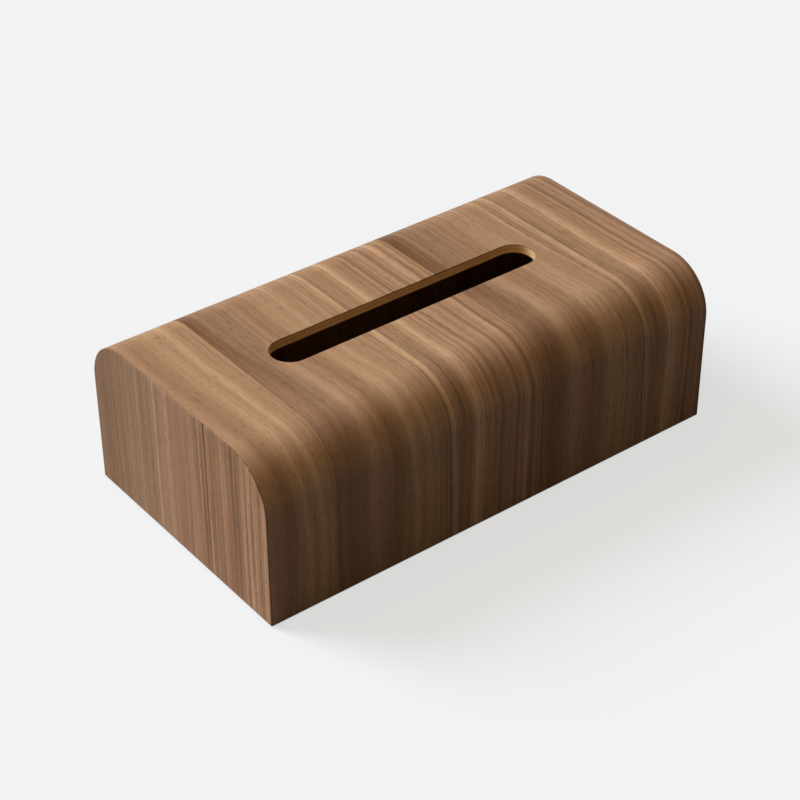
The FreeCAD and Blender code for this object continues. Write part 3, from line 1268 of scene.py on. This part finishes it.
def dress_node(node: str, finish: Finish) -> None:
    """Gives a solid that stays in view its finish.

    Args:
        node: the solid's name.
        finish: its surface.
    """
    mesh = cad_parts[node].data
    mesh.materials.clear()
    mesh.materials.append(finish.material())
    log.info("%s: dressed in %s", node, finish.name)


def smooth(mesh: bpy.types.Mesh, sharp_deg: float = 35.0, square_share: float = 0.99999) -> None:
    """Shades the bends and rounded rims of a mesh smooth, and keeps its level and upright faces flat.

    Args:
        mesh: the mesh.
        sharp_deg: the smallest angle that stays hard.
        square_share: how closely a face's normal keeps to an axis where the face stays flat.
    """
    mesh.set_sharp_from_angle(angle=math.radians(sharp_deg))
    for face in mesh.polygons:
        face.use_smooth = max(abs(share) for share in face.normal) < square_share


def run_tree(
    mesh: bpy.types.Mesh | None, tree: bpy.types.NodeTree, sizes: Mapping[str, object]
) -> bpy.types.Mesh:
    """Runs a geometry tree and returns its result as a plain mesh.

    Args:
        mesh: the mesh that it starts from, or none.
        tree: the geometry tree.
        sizes: a value for each of its named inputs.

    Returns:
        The finished mesh.
    """
    start = mesh or bpy.data.meshes.new("start")
    holder = bpy.data.objects.new("holder", start)
    bpy.context.scene.collection.objects.link(holder)
    modifier = holder.modifiers.new("shape", "NODES")
    modifier.node_group = tree
    for item in tree.interface.items_tree:
        if item.in_out == "INPUT" and item.name in sizes:
            modifier[item.identifier] = sizes[item.name]
    graph = bpy.context.evaluated_depsgraph_get()
    result = bpy.data.meshes.new_from_object(holder.evaluated_get(graph), depsgraph=graph)
    holder.modifiers.remove(modifier)
    bpy.data.objects.remove(holder)
    bpy.data.meshes.remove(start)
    return result


class SlotEnd(Enum):
    """Which round end of the tissue slot a leaf is cut for."""

    NONE = 0
    LEFT = 1
    RIGHT = 2


@dataclass(frozen=True)
class Leaf:
    """A veneer leaf on the arch: its reach, where its figure starts, its slot end, its tone with a painted
    fall-off of light, and its heart.
    """

    name: str
    start: float
    end: float
    figure_start: float
    slot_end: SlotEnd
    number: int
    tone: float
    heart: float


@dataclass
class ArchCover:
    """The bent cover: walnut leaves over plies, and a veneered board in each end."""

    length: float = 260 * MM
    width: float = 140 * MM
    bottom: float = 1 * MM
    top: float = 84.5 * MM
    bend_radius: float = 25 * MM
    veneer: float = 0.6 * MM
    slot_length: float = 153 * MM
    slot_width: float = 20 * MM
    slot_ease: float = 0.3 * MM
    end_ease: float = 0.4 * MM
    first_splice: float = -93 * MM
    second_splice: float = 25 * MM
    left_figure: float = 22 * MM
    # The leaves' levels step down from left to right: painted fall-off of the light, which comes from the
    # left.
    leaf_tones_with_light_falloff: tuple[float, float, float] = (1.04, 0.99, 0.94)
    leaf_hearts: tuple[float, float, float] = (0.0, 0.22, 0.45)
    end_tone: float = 0.995
    end_number: float = 4.0
    bend_steps: int = 28
    round_steps: int = 24
    ease_steps: int = 4
    body: str = "cover"

    @property
    def flat_half(self) -> float:
        """Half the flat width of the top, between the bends."""
        return self.width / 2 - self.bend_radius

    @property
    def bend_length(self) -> float:
        """Length of one bend, along its outside."""
        return self.bend_radius * math.pi / 2

    @property
    def sheet_half(self) -> float:
        """Half the length of a leaf along its fibres, from the middle of the top to a lower edge."""
        return self.flat_half + self.bend_length + self.top - self.bend_radius - self.bottom

    def build(self) -> None:
        """Builds the visible veneers and dresses the plies, boards and lining behind them."""
        tree = self.bend_tree()
        for leaf in self.leaves():
            blank = self.leaf_blank(leaf)
            sizes = {
                "Flat half width": self.flat_half,
                "Bend radius": self.bend_radius,
                "Top height": self.top,
                "Figure start": leaf.figure_start,
                "Leaf number": float(leaf.number),
                "Leaf tone and light falloff": leaf.tone,
                "Leaf heart": leaf.heart,
                "Veneer": FACE_WALNUT.material(),
            }
            mesh = run_tree(blank, tree, sizes)
            smooth(mesh)
            show_piece(f"walnut_{leaf.name}", mesh, FACE_WALNUT, self.body, [leaf.name])
        for side, name in ((-1, "left_end_veneer"), (1, "right_end_veneer")):
            mesh = self.end_panel(side)
            smooth(mesh)
            show_piece(f"walnut_{name}", mesh, END_WALNUT, self.body, [name])
        for node, finish in (
            ("arch_outer_ply", CROSS_PLY),
            ("arch_centre_ply", CENTRE_PLY),
            ("arch_inner_ply", CROSS_PLY),
            ("arch_lining", STAINED_LINING),
            ("left_end_board", STAINED_BOARD),
            ("right_end_board", STAINED_BOARD),
        ):
            dress_node(node, finish)

    def leaves(self) -> tuple[Leaf, ...]:
        """Lists the three leaves from left to right, each with the same figure slipped along.

        Returns:
            The leaves. The left one starts part of the way into the figure.
        """
        left, right = -self.length / 2 + self.veneer, self.length / 2 - self.veneer
        edges = (left, self.first_splice, self.second_splice, right)
        figures = (left - self.left_figure, self.first_splice, self.second_splice)
        names = ("face_leaf_left", "face_leaf_middle", "face_leaf_right")
        return tuple(
            Leaf(
                name=names[number],
                start=edges[number],
                end=edges[number + 1],
                figure_start=figures[number],
                slot_end=slot_end,
                number=number,
                tone=self.leaf_tones_with_light_falloff[number],
                heart=self.leaf_hearts[number],
            )
            for number, slot_end in enumerate((SlotEnd.NONE, SlotEnd.LEFT, SlotEnd.RIGHT))
        )

    def slot_path(self, leaf: Leaf) -> list[tuple[Point, Point]]:
        """Follows the slot's rim through a leaf, from one side of the splice round to the other.

        Args:
            leaf: the leaf that is cut.

        Returns:
            Places on the rim with the direction from each into the wood.
        """
        if leaf.slot_end is SlotEnd.NONE:
            return []
        radius = self.slot_width / 2
        reach = self.slot_length / 2 - radius
        turn = 1 if leaf.slot_end is SlotEnd.RIGHT else -1
        splice = leaf.start if leaf.slot_end is SlotEnd.RIGHT else leaf.end
        path = [((splice, radius * turn), (0.0, float(turn)))]
        for step in range(self.round_steps + 1):
            angle = turn * (math.pi / 2 - math.pi * step / self.round_steps)
            away = (turn * math.cos(angle), math.sin(angle))
            path.append(((turn * reach + radius * away[0], radius * away[1]), away))
        path.append(((splice, -radius * turn), (0.0, float(-turn))))
        return path

    def leaf_blank(self, leaf: Leaf) -> bpy.types.Mesh:
        """Cuts a leaf flat: X along the holder, Y along the fibres, Z through the thickness.

        Args:
            leaf: the leaf.

        Returns:
            A closed sheet with the slot cut out and its upper rim rounded.
        """
        sheet = bmesh.new()
        upper: dict[Point, bmesh.types.BMVert] = {}
        lower: dict[bmesh.types.BMVert, bmesh.types.BMVert] = {}

        def corner(x: float, y: float) -> bmesh.types.BMVert:
            """Finds or makes the upper point at a place, with its lower point under it.

            Args:
                x: the place along the holder.
                y: the place along the fibres.

            Returns:
                The upper point.
            """
            key = (round(x, 8), round(y, 8))
            if key not in upper:
                upper[key] = sheet.verts.new((x, y, 0.0))
                lower[upper[key]] = sheet.verts.new((x, y, -self.veneer))
            return upper[key]

        rim = self.slot_path(leaf)
        levels = self.rim_levels(sheet, rim, lower)
        half = self.flat_half
        square = ((leaf.start, -half), (leaf.end, -half), (leaf.end, half), (leaf.start, half))
        outline = [corner(x, y) for x, y in square]
        ring = [column[0] for column in levels]
        if leaf.slot_end is SlotEnd.LEFT:
            outline = outline[:2] + ring + outline[2:]
        elif leaf.slot_end is SlotEnd.RIGHT:
            outline = outline + ring
        top_faces = [outline]
        rows = [half + self.bend_length * step / self.bend_steps for step in range(self.bend_steps + 1)]
        rows.append(self.sheet_half)
        for side in (-1, 1):
            for near, far in zip(rows, rows[1:]):
                places = ((leaf.start, near), (leaf.end, near), (leaf.end, far), (leaf.start, far))
                top_faces.append([corner(x, side * y) for x, y in places])
        for face in top_faces:
            sheet.faces.new(face)
            sheet.faces.new([lower[vert] for vert in face])
        rim_edges = {frozenset(pair) for pair in zip(ring, ring[1:])}
        tops = set(lower)
        open_edges = [edge for edge in sheet.edges if len(edge.link_faces) == 1 and set(edge.verts) <= tops]
        for edge in open_edges:
            first, second = edge.verts
            if frozenset((first, second)) not in rim_edges:
                sheet.faces.new((first, second, lower[second], lower[first]))
        for one, two in zip(levels, levels[1:]):
            for step in range(len(one) - 1):
                sheet.faces.new((one[step], two[step], two[step + 1], one[step + 1]))
        for column in levels[:1] + levels[-1:]:
            sheet.faces.new(column)
        bmesh.ops.recalc_face_normals(sheet, faces=sheet.faces)
        mesh = bpy.data.meshes.new(leaf.name)
        sheet.to_mesh(mesh)
        sheet.free()
        return mesh

    def rim_levels(
        self,
        sheet: bmesh.types.BMesh,
        rim: Sequence[tuple[Point, Point]],
        lower: dict[bmesh.types.BMVert, bmesh.types.BMVert],
    ) -> list[list[bmesh.types.BMVert]]:
        """Adds the rounded section of the slot's rim at each place along it.

        Args:
            sheet: the flat leaf.
            rim: places on the rim with the direction from each into the wood.
            lower: gets the lowest point of each section, by its highest.

        Returns:
            The points of each section, from the upper face down.
        """
        columns = []
        for (x, y), (away_x, away_y) in rim:
            column = []
            for step in range(self.ease_steps + 1):
                angle = math.pi / 2 * step / self.ease_steps
                out = self.slot_ease * (1 - math.sin(angle))
                down = self.slot_ease * (1 - math.cos(angle))
                column.append(sheet.verts.new((x + away_x * out, y + away_y * out, -down)))
            column.append(sheet.verts.new((x, y, -self.veneer)))
            lower[column[0]] = column[-1]
            columns.append(column)
        return columns

    def bend_tree(self) -> bpy.types.NodeTree:
        """Makes the tree that keeps a flat leaf's grain map and bends the leaf round the arch.

        Returns:
            The geometry tree.
        """
        tree = bpy.data.node_groups.new("bend_leaf_round_arch", "GeometryNodeTree")
        tree.interface.new_socket("Geometry", in_out="OUTPUT", socket_type="NodeSocketGeometry")
        tree.interface.new_socket("Geometry", in_out="INPUT", socket_type="NodeSocketGeometry")
        for name in (
            "Flat half width",
            "Bend radius",
            "Top height",
            "Figure start",
            "Leaf number",
            "Leaf tone and light falloff",
            "Leaf heart",
        ):
            tree.interface.new_socket(name, in_out="INPUT", socket_type="NodeSocketFloat")
        tree.interface.new_socket("Veneer", in_out="INPUT", socket_type="NodeSocketMaterial")
        given = add_node(tree, "NodeGroupInput").outputs
        flat = add_node(
            tree, "ShaderNodeSeparateXYZ", links={0: add_node(tree, "GeometryNodeInputPosition").outputs[0]}
        ).outputs
        across = add_node(
            tree, "ShaderNodeMath", links={0: flat["X"], 1: given["Figure start"]}, operation="SUBTRACT"
        )
        grain = add_node(tree, "ShaderNodeCombineXYZ", links={0: across.outputs[0], 1: flat["Y"]})
        mapped = add_node(
            tree,
            "GeometryNodeStoreNamedAttribute",
            {"Name": GRAIN_MAP},
            {"Geometry": given["Geometry"], "Value": grain.outputs[0]},
            data_type="FLOAT2",
            domain="CORNER",
        )
        kept = mapped.outputs[0]
        for attribute, value in (
            (LEAF_NUMBER, given["Leaf number"]),
            (LEAF_TONE_AND_LIGHT_FALLOFF, given["Leaf tone and light falloff"]),
            (LEAF_HEART, given["Leaf heart"]),
        ):
            kept = add_node(
                tree,
                "GeometryNodeStoreNamedAttribute",
                {"Name": attribute},
                {"Geometry": kept, "Value": value},
                data_type="FLOAT",
                domain="POINT",
            ).outputs[0]
        run = add_node(tree, "ShaderNodeMath", links={0: flat["Y"]}, operation="ABSOLUTE").outputs[0]
        side = add_node(tree, "ShaderNodeMath", links={0: flat["Y"]}, operation="SIGN").outputs[0]
        past = add_node(
            tree, "ShaderNodeMath", links={0: run, 1: given["Flat half width"]}, operation="SUBTRACT"
        ).outputs[0]
        turned = add_node(
            tree, "ShaderNodeMath", links={0: past, 1: given["Bend radius"]}, operation="DIVIDE"
        )
        angle = add_node(
            tree, "ShaderNodeClamp", {"Min": 0.0, "Max": math.pi / 2}, {"Value": turned.outputs[0]}
        ).outputs[0]
        bent = add_node(
            tree, "ShaderNodeMath", {1: math.pi / 2}, {0: given["Bend radius"]}, operation="MULTIPLY"
        )
        below = add_node(tree, "ShaderNodeMath", links={0: past, 1: bent.outputs[0]}, operation="SUBTRACT")
        wall = add_node(
            tree, "ShaderNodeMath", {1: 0.0}, {0: below.outputs[0]}, operation="MAXIMUM"
        ).outputs[0]
        radius = add_node(
            tree, "ShaderNodeMath", links={0: given["Bend radius"], 1: flat["Z"]}, operation="ADD"
        ).outputs[0]
        sine = add_node(tree, "ShaderNodeMath", links={0: angle}, operation="SINE")
        cosine = add_node(tree, "ShaderNodeMath", links={0: angle}, operation="COSINE")
        level = add_node(
            tree, "ShaderNodeMath", links={0: run, 1: given["Flat half width"]}, operation="MINIMUM"
        ).outputs[0]
        out = add_node(
            tree, "ShaderNodeMath", links={0: radius, 1: sine.outputs[0], 2: level}, operation="MULTIPLY_ADD"
        )
        depth = add_node(tree, "ShaderNodeMath", links={0: out.outputs[0], 1: side}, operation="MULTIPLY")
        spring = add_node(
            tree,
            "ShaderNodeMath",
            links={0: given["Top height"], 1: given["Bend radius"]},
            operation="SUBTRACT",
        )
        rise = add_node(
            tree,
            "ShaderNodeMath",
            links={0: radius, 1: cosine.outputs[0], 2: spring.outputs[0]},
            operation="MULTIPLY_ADD",
        )
        height = add_node(tree, "ShaderNodeMath", links={0: rise.outputs[0], 1: wall}, operation="SUBTRACT")
        place = add_node(
            tree, "ShaderNodeCombineXYZ", links={0: flat["X"], 1: depth.outputs[0], 2: height.outputs[0]}
        )
        moved = add_node(
            tree, "GeometryNodeSetPosition", links={"Geometry": kept, "Position": place.outputs[0]}
        )
        real = add_node(tree, "GeometryNodeRealizeInstances", links={0: moved.outputs[0]})
        dressed = add_node(
            tree, "GeometryNodeSetMaterial", links={"Geometry": real.outputs[0], "Material": given["Veneer"]}
        )
        add_node(tree, "NodeGroupOutput", links={0: dressed.outputs[0]})
        return tree

    def end_outline(self) -> list[tuple[Point, Point]]:
        """Follows the outline of an end in Y and Z, from its lower front corner up and over.

        Returns:
            Places on the outline with the direction from each outwards, longer at a square corner.
        """
        half, radius = self.width / 2, self.bend_radius
        path = [((-half, self.bottom), (-1.0, -1.0))]
        for centre, first in ((-self.flat_half, math.pi), (self.flat_half, math.pi / 2)):
            for step in range(self.bend_steps + 1):
                angle = first - math.pi / 2 * step / self.bend_steps
                away = (math.cos(angle), math.sin(angle))
                path.append(((centre + radius * away[0], self.top - radius + radius * away[1]), away))
        path.append(((half, self.bottom), (1.0, -1.0)))
        return path

    def end_panel(self, side: int) -> bpy.types.Mesh:
        """Builds an end veneer with its outer rim rounded.

        Args:
            side: -1 for the left end, 1 for the right.

        Returns:
            A closed plate with a grain map that runs up it.
        """
        plate = bmesh.new()
        # Each point keeps how far round the rim it lies, from 0 on the face to 1 on the cut edge: the share
        # of painted shade that it gets.
        cut = plate.verts.layers.float.new(PAINTED_RIM_SHADE)
        outline = self.end_outline()
        outer_x = self.length / 2
        sections = []
        for step in range(self.ease_steps + 2):
            angle = math.pi / 2 * min(step, self.ease_steps) / self.ease_steps
            inset = self.end_ease * (1 - math.sin(angle))
            deep = self.end_ease * (1 - math.cos(angle)) if step <= self.ease_steps else self.veneer
            x = side * (outer_x - deep)
            section = [plate.verts.new((x, y - ay * inset, z - az * inset)) for (y, z), (ay, az) in outline]
            for vert in section:
                vert[cut] = min(step / self.ease_steps, 1.0)
            sections.append(section)
        count = len(outline)
        for near, far in zip(sections, sections[1:]):
            for at in range(count):
                after = (at + 1) % count
                plate.faces.new((near[at], near[after], far[after], far[at]))
        plate.faces.new(sections[0])
        plate.faces.new(sections[-1])
        bmesh.ops.recalc_face_normals(plate, faces=plate.faces)
        grain = plate.loops.layers.uv.new(GRAIN_MAP)
        for face in plate.faces:
            for loop in face.loops:
                loop[grain].uv = (loop.vert.co.y + self.width / 2, loop.vert.co.z)
        mesh = bpy.data.meshes.new("end_panel")
        plate.to_mesh(mesh)
        plate.free()
        for name, value in ((LEAF_NUMBER, self.end_number + side), (LEAF_TONE_AND_LIGHT_FALLOFF, self.end_tone)):
            attribute = mesh.attributes.new(name, "FLOAT", "POINT")
            attribute.data.foreach_set("value", [value] * len(mesh.vertices))
        return mesh


@dataclass
class CornerFittings:
    """The glue blocks inside the cover and the magnets in their feet."""

    corners: tuple[str, ...] = CORNERS

    def build(self) -> None:
        """Dresses the blocks and the magnets."""
        for corner in self.corners:
            dress_node(f"corner_block_{corner}", STAINED_BLOCK)
            dress_node(f"magnet_{corner}", NICKEL)


@dataclass
class LooseBase:
    """The loose base board with its strike discs and felt feet."""

    foot_radius: float = 6 * MM
    foot_height: float = 2 * MM
    foot_reach: Point = (106.5 * MM, 46.5 * MM)
    foot_sides: int = 48
    foot_profile: tuple[Pair, ...] = (
        (0.87, 0.0),
        (0.93, 0.03),
        (0.97, 0.12),
        (0.99, 0.28),
        (1.0, 0.5),
        (0.99, 0.75),
        (0.96, 1.0),
    )
    fibre_from: float = 0.3
    fibre_to: float = 0.75
    fibre_lean: float = 0.7
    fibre_length: float = 0.7 * MM
    fibre_radius: float = 0.025 * MM
    fibres_per_mm2: float = 5.0
    seed: int = 7
    body: str = "base"

    def build(self) -> None:
        """Dresses the board and the discs, and builds the feet."""
        dress_node("base_board", BIRCH_PLY)
        for corner in CORNERS:
            dress_node(f"strike_disc_{corner}", ZINC_STEEL)
        sizes = {
            "Reach across": 2 * self.foot_reach[0],
            "Reach deep": 2 * self.foot_reach[1],
            "Lowest fibre": self.fibre_from * self.foot_height,
            "Highest fibre": self.fibre_to * self.foot_height,
            "Fibre length": self.fibre_length,
            "Fibre radius": self.fibre_radius,
            "Fibre density": self.fibres_per_mm2 * PER_MM ** 2,
            "Seed": self.seed,
            "Felt": FELT.material(),
        }
        mesh = run_tree(self.foot_pad(), self.feet_tree(), sizes)
        smooth(mesh)
        show_piece("felt_feet", mesh, FELT, self.body, [f"felt_foot_{corner}" for corner in CORNERS])

    def foot_pad(self) -> bpy.types.Mesh:
        """Turns one felt pad: a soft lower rim, a side that bulges a little, and a flat glued top.

        Returns:
            A closed pad, standing on the floor at the middle.
        """
        pad = bmesh.new()
        turns = [2 * math.pi * step / self.foot_sides for step in range(self.foot_sides)]
        rings = []
        for out, up in self.foot_profile:
            radius, height = out * self.foot_radius, up * self.foot_height
            rings.append([pad.verts.new((radius * math.cos(t), radius * math.sin(t), height)) for t in turns])
        for low, high in zip(rings, rings[1:]):
            for at in range(self.foot_sides):
                after = (at + 1) % self.foot_sides
                pad.faces.new((low[at], low[after], high[after], high[at]))
        pad.faces.new(rings[0])
        pad.faces.new(rings[-1])
        bmesh.ops.recalc_face_normals(pad, faces=pad.faces)
        mesh = bpy.data.meshes.new("foot_pad")
        pad.to_mesh(mesh)
        pad.free()
        return mesh

    def feet_tree(self) -> bpy.types.NodeTree:
        """Makes the tree that roughs a pad's side with loose fibres and sets one pad at each corner.

        Returns:
            The geometry tree.
        """
        tree = bpy.data.node_groups.new("felt_pads_at_corners", "GeometryNodeTree")
        tree.interface.new_socket("Geometry", in_out="OUTPUT", socket_type="NodeSocketGeometry")
        tree.interface.new_socket("Geometry", in_out="INPUT", socket_type="NodeSocketGeometry")
        for name in (
            "Reach across",
            "Reach deep",
            "Lowest fibre",
            "Highest fibre",
            "Fibre length",
            "Fibre radius",
            "Fibre density",
        ):
            tree.interface.new_socket(name, in_out="INPUT", socket_type="NodeSocketFloat")
        tree.interface.new_socket("Seed", in_out="INPUT", socket_type="NodeSocketInt")
        tree.interface.new_socket("Felt", in_out="INPUT", socket_type="NodeSocketMaterial")
        given = add_node(tree, "NodeGroupInput").outputs
        height = add_node(
            tree, "ShaderNodeSeparateXYZ", links={0: add_node(tree, "GeometryNodeInputPosition").outputs[0]}
        ).outputs["Z"]
        above = add_node(
            tree, "ShaderNodeMath", links={0: height, 1: given["Lowest fibre"]}, operation="GREATER_THAN"
        )
        below = add_node(
            tree, "ShaderNodeMath", links={0: height, 1: given["Highest fibre"]}, operation="LESS_THAN"
        )
        beside = add_node(
            tree, "ShaderNodeMath", links={0: above.outputs[0], 1: below.outputs[0]}, operation="MULTIPLY"
        )
        roots = add_node(
            tree,
            "GeometryNodeDistributePointsOnFaces",
            links={
                "Mesh": given["Geometry"],
                "Selection": beside.outputs[0],
                "Density": given["Fibre density"],
                "Seed": given["Seed"],
            },
        )
        fibre = add_node(
            tree,
            "GeometryNodeMeshCone",
            {"Vertices": 3, "Radius Top": 0.0},
            {"Radius Bottom": given["Fibre radius"], "Depth": given["Fibre length"]},
            fill_type="NGON",
        )
        lean = add_node(
            tree,
            "FunctionNodeRandomValue",
            {
                "Min": (-self.fibre_lean, -self.fibre_lean, 0.0),
                "Max": (self.fibre_lean, self.fibre_lean, math.tau),
            },
            {"Seed": given["Seed"]},
            data_type="FLOAT_VECTOR",
        )
        leaning = add_node(
            tree,
            "FunctionNodeRotateRotation",
            links={"Rotation": roots.outputs["Rotation"], "Rotate By": lean.outputs["Value"]},
            rotation_space="LOCAL",
        )
        fibres = add_node(
            tree,
            "GeometryNodeInstanceOnPoints",
            links={
                "Points": roots.outputs["Points"],
                "Instance": fibre.outputs["Mesh"],
                "Rotation": leaning.outputs[0],
            },
        )
        pad = add_node(tree, "GeometryNodeJoinGeometry", links={0: given["Geometry"]})
        tree.links.new(fibres.outputs[0], pad.inputs[0])
        corners = add_node(
            tree,
            "GeometryNodeMeshGrid",
            {"Vertices X": 2, "Vertices Y": 2},
            {"Size X": given["Reach across"], "Size Y": given["Reach deep"]},
        )
        turn = add_node(
            tree,
            "FunctionNodeRandomValue",
            {"Min": (0.0, 0.0, 0.0), "Max": (0.0, 0.0, math.tau)},
            {"Seed": given["Seed"]},
            data_type="FLOAT_VECTOR",
        )
        feet = add_node(
            tree,
            "GeometryNodeInstanceOnPoints",
            links={
                "Points": corners.outputs["Mesh"],
                "Instance": pad.outputs[0],
                "Rotation": turn.outputs["Value"],
            },
        )
        real = add_node(tree, "GeometryNodeRealizeInstances", links={0: feet.outputs[0]})
        dressed = add_node(
            tree, "GeometryNodeSetMaterial", links={"Geometry": real.outputs[0], "Material": given["Felt"]}
        )
        add_node(tree, "NodeGroupOutput", links={0: dressed.outputs[0]})
        return tree


@dataclass(frozen=True)
class SoftLight:
    """A broad distant light: where it comes from, how wide it looks, and its level on a flat top."""

    name: str
    comes_from: tuple[float, float, float]
    angle_deg: float
    level: float
    colour: str

    def hang(self) -> None:
        """Hangs the light."""
        towards = Vector(self.comes_from).normalized()
        lamp = bpy.data.lights.new(self.name, "SUN")
        lamp.energy = math.pi * self.level / towards.z
        lamp.angle = math.radians(self.angle_deg)
        lamp.color = linear(self.colour)[:3]
        light = bpy.data.objects.new(self.name, lamp)
        light.rotation_euler = towards.to_track_quat("Z", "Y").to_euler()
        bpy.context.scene.collection.objects.link(light)


@dataclass
class Studio:
    """A pale floor, a broad window behind on the left, a warm ceiling, a weak sky and the camera."""

    floor_half: float = 12.0
    floor_tone: str = "#F2F3F4"
    floor_bounce: str = "#7C7D84"
    sky: str = "#D8F0FF"
    sky_strength: float = 0.003
    window: SoftLight = SoftLight(
        name="broad_window", comes_from=(-0.72, 1.13, 1.0), angle_deg=29.0, level=0.745, colour="#E6F1FF"
    )
    ceiling: SoftLight = SoftLight(
        name="warm_ceiling", comes_from=(-0.25, 0.04, 1.0), angle_deg=77.0, level=0.396, colour="#FFE4BD"
    )
    shadow_share: float = 0.28
    azimuth_deg: float = -37.66
    elevation_deg: float = 35.27
    roll_deg: float = -0.27
    distance: float = 1019 * MM
    aim_height: float = 46 * MM
    slide: Pair = (-3.1 * MM, -15.1 * MM)
    lens_mm: float = 95.65
    sensor_mm: float = 36.0
    sight: Pair = (0.05, 60.0)

    def build(self) -> None:
        """Builds the floor, the lights and the camera."""
        bpy.context.scene.view_settings.view_transform = "Standard"
        self.lay_floor()
        self.window.hang()
        self.ceiling.hang()
        self.fill_sky()
        self.set_camera()

    def lay_floor(self) -> None:
        """Lays a floor that looks pale and keeps the holder's shadow, but throws little light back."""
        mesh = bpy.data.meshes.new("floor")
        half = self.floor_half
        corners = [(-half, -half, 0), (half, -half, 0), (half, half, 0), (-half, half, 0)]
        mesh.from_pydata(corners, [], [(0, 1, 2, 3)])
        floor = bpy.data.objects.new("floor", mesh)
        bpy.context.scene.collection.objects.link(floor)
        material = bpy.data.materials.new("pale_paper_floor")
        material.use_nodes = True
        tree = material.node_tree
        tree.nodes.clear()
        seen = self.rays_that_see(tree)
        pale = linear(self.floor_tone)
        lit = add_node(tree, "ShaderNodeBsdfDiffuse", {"Color": pale})
        even = add_node(tree, "ShaderNodeEmission", {"Color": pale, "Strength": 1.0})
        shown = add_node(
            tree, "ShaderNodeMixShader", {0: self.shadow_share}, {1: even.outputs[0], 2: lit.outputs[0]}
        )
        bounce = add_node(tree, "ShaderNodeBsdfDiffuse", {"Color": linear(self.floor_bounce)})
        mixed = add_node(
            tree, "ShaderNodeMixShader", links={0: seen, 1: bounce.outputs[0], 2: shown.outputs[0]}
        )
        add_node(tree, "ShaderNodeOutputMaterial", links={"Surface": mixed.outputs[0]})
        mesh.materials.append(material)

    def rays_that_see(self, tree: bpy.types.NodeTree) -> bpy.types.NodeSocket:
        """Tells rays that show a surface from rays that only carry light.

        Args:
            tree: a shader tree.

        Returns:
            A socket that is 1 for camera, mirror and glass rays.
        """
        path = add_node(tree, "ShaderNodeLightPath").outputs
        shows = path["Is Camera Ray"]
        for ray in ("Is Glossy Ray", "Is Transmission Ray"):
            shows = add_node(
                tree, "ShaderNodeMath", links={0: shows, 1: path[ray]}, operation="MAXIMUM"
            ).outputs[0]
        return shows

    def fill_sky(self) -> None:
        """Fills the room with a weak even light, behind a pale view."""
        world = bpy.data.worlds.new("pale_room")
        world.use_nodes = True
        tree = world.node_tree
        tree.nodes.clear()
        weak = add_node(
            tree, "ShaderNodeBackground", {"Color": linear(self.sky), "Strength": self.sky_strength}
        )
        pale = add_node(tree, "ShaderNodeBackground", {"Color": linear(self.floor_tone), "Strength": 1.0})
        seen = self.rays_that_see(tree)
        mixed = add_node(tree, "ShaderNodeMixShader", links={0: seen, 1: weak.outputs[0], 2: pale.outputs[0]})
        add_node(tree, "ShaderNodeOutputWorld", links={"Surface": mixed.outputs[0]})
        bpy.context.scene.world = world

    def set_camera(self) -> None:
        """Sets the camera at the portrait's viewing angle."""
        turn, lift = math.radians(self.azimuth_deg), math.radians(self.elevation_deg)
        tilt = math.radians(self.roll_deg)
        back = Vector((math.sin(turn) * math.cos(lift), -math.cos(turn) * math.cos(lift), math.sin(lift)))
        level = Vector((0, 0, 1)).cross(back).normalized()
        upright = back.cross(level)
        right = math.cos(tilt) * level + math.sin(tilt) * upright
        up = math.cos(tilt) * upright - math.sin(tilt) * level
        aim = Vector((0, 0, self.aim_height))
        place = aim + back * self.distance + right * self.slide[0] + up * self.slide[1]
        lens = bpy.data.cameras.new("portrait_camera")
        lens.lens = self.lens_mm
        lens.sensor_width = self.sensor_mm
        lens.sensor_fit = "HORIZONTAL"
        lens.clip_start, lens.clip_end = self.sight
        camera = bpy.data.objects.new("portrait_camera", lens)
        camera.matrix_world = Matrix.Translation(place) @ Matrix((right, up, back)).transposed().to_4x4()
        bpy.context.scene.collection.objects.link(camera)
        bpy.context.scene.camera = camera


def main() -> None:
    """Builds the holder's sub-assemblies in order, then the studio."""
    logging.basicConfig(level=logging.INFO, format="%(name)s: %(message)s")
    ArchCover().build()
    CornerFittings().build()
    LooseBase().build()
    Studio().build()


if __name__ == "__main__":
    main()
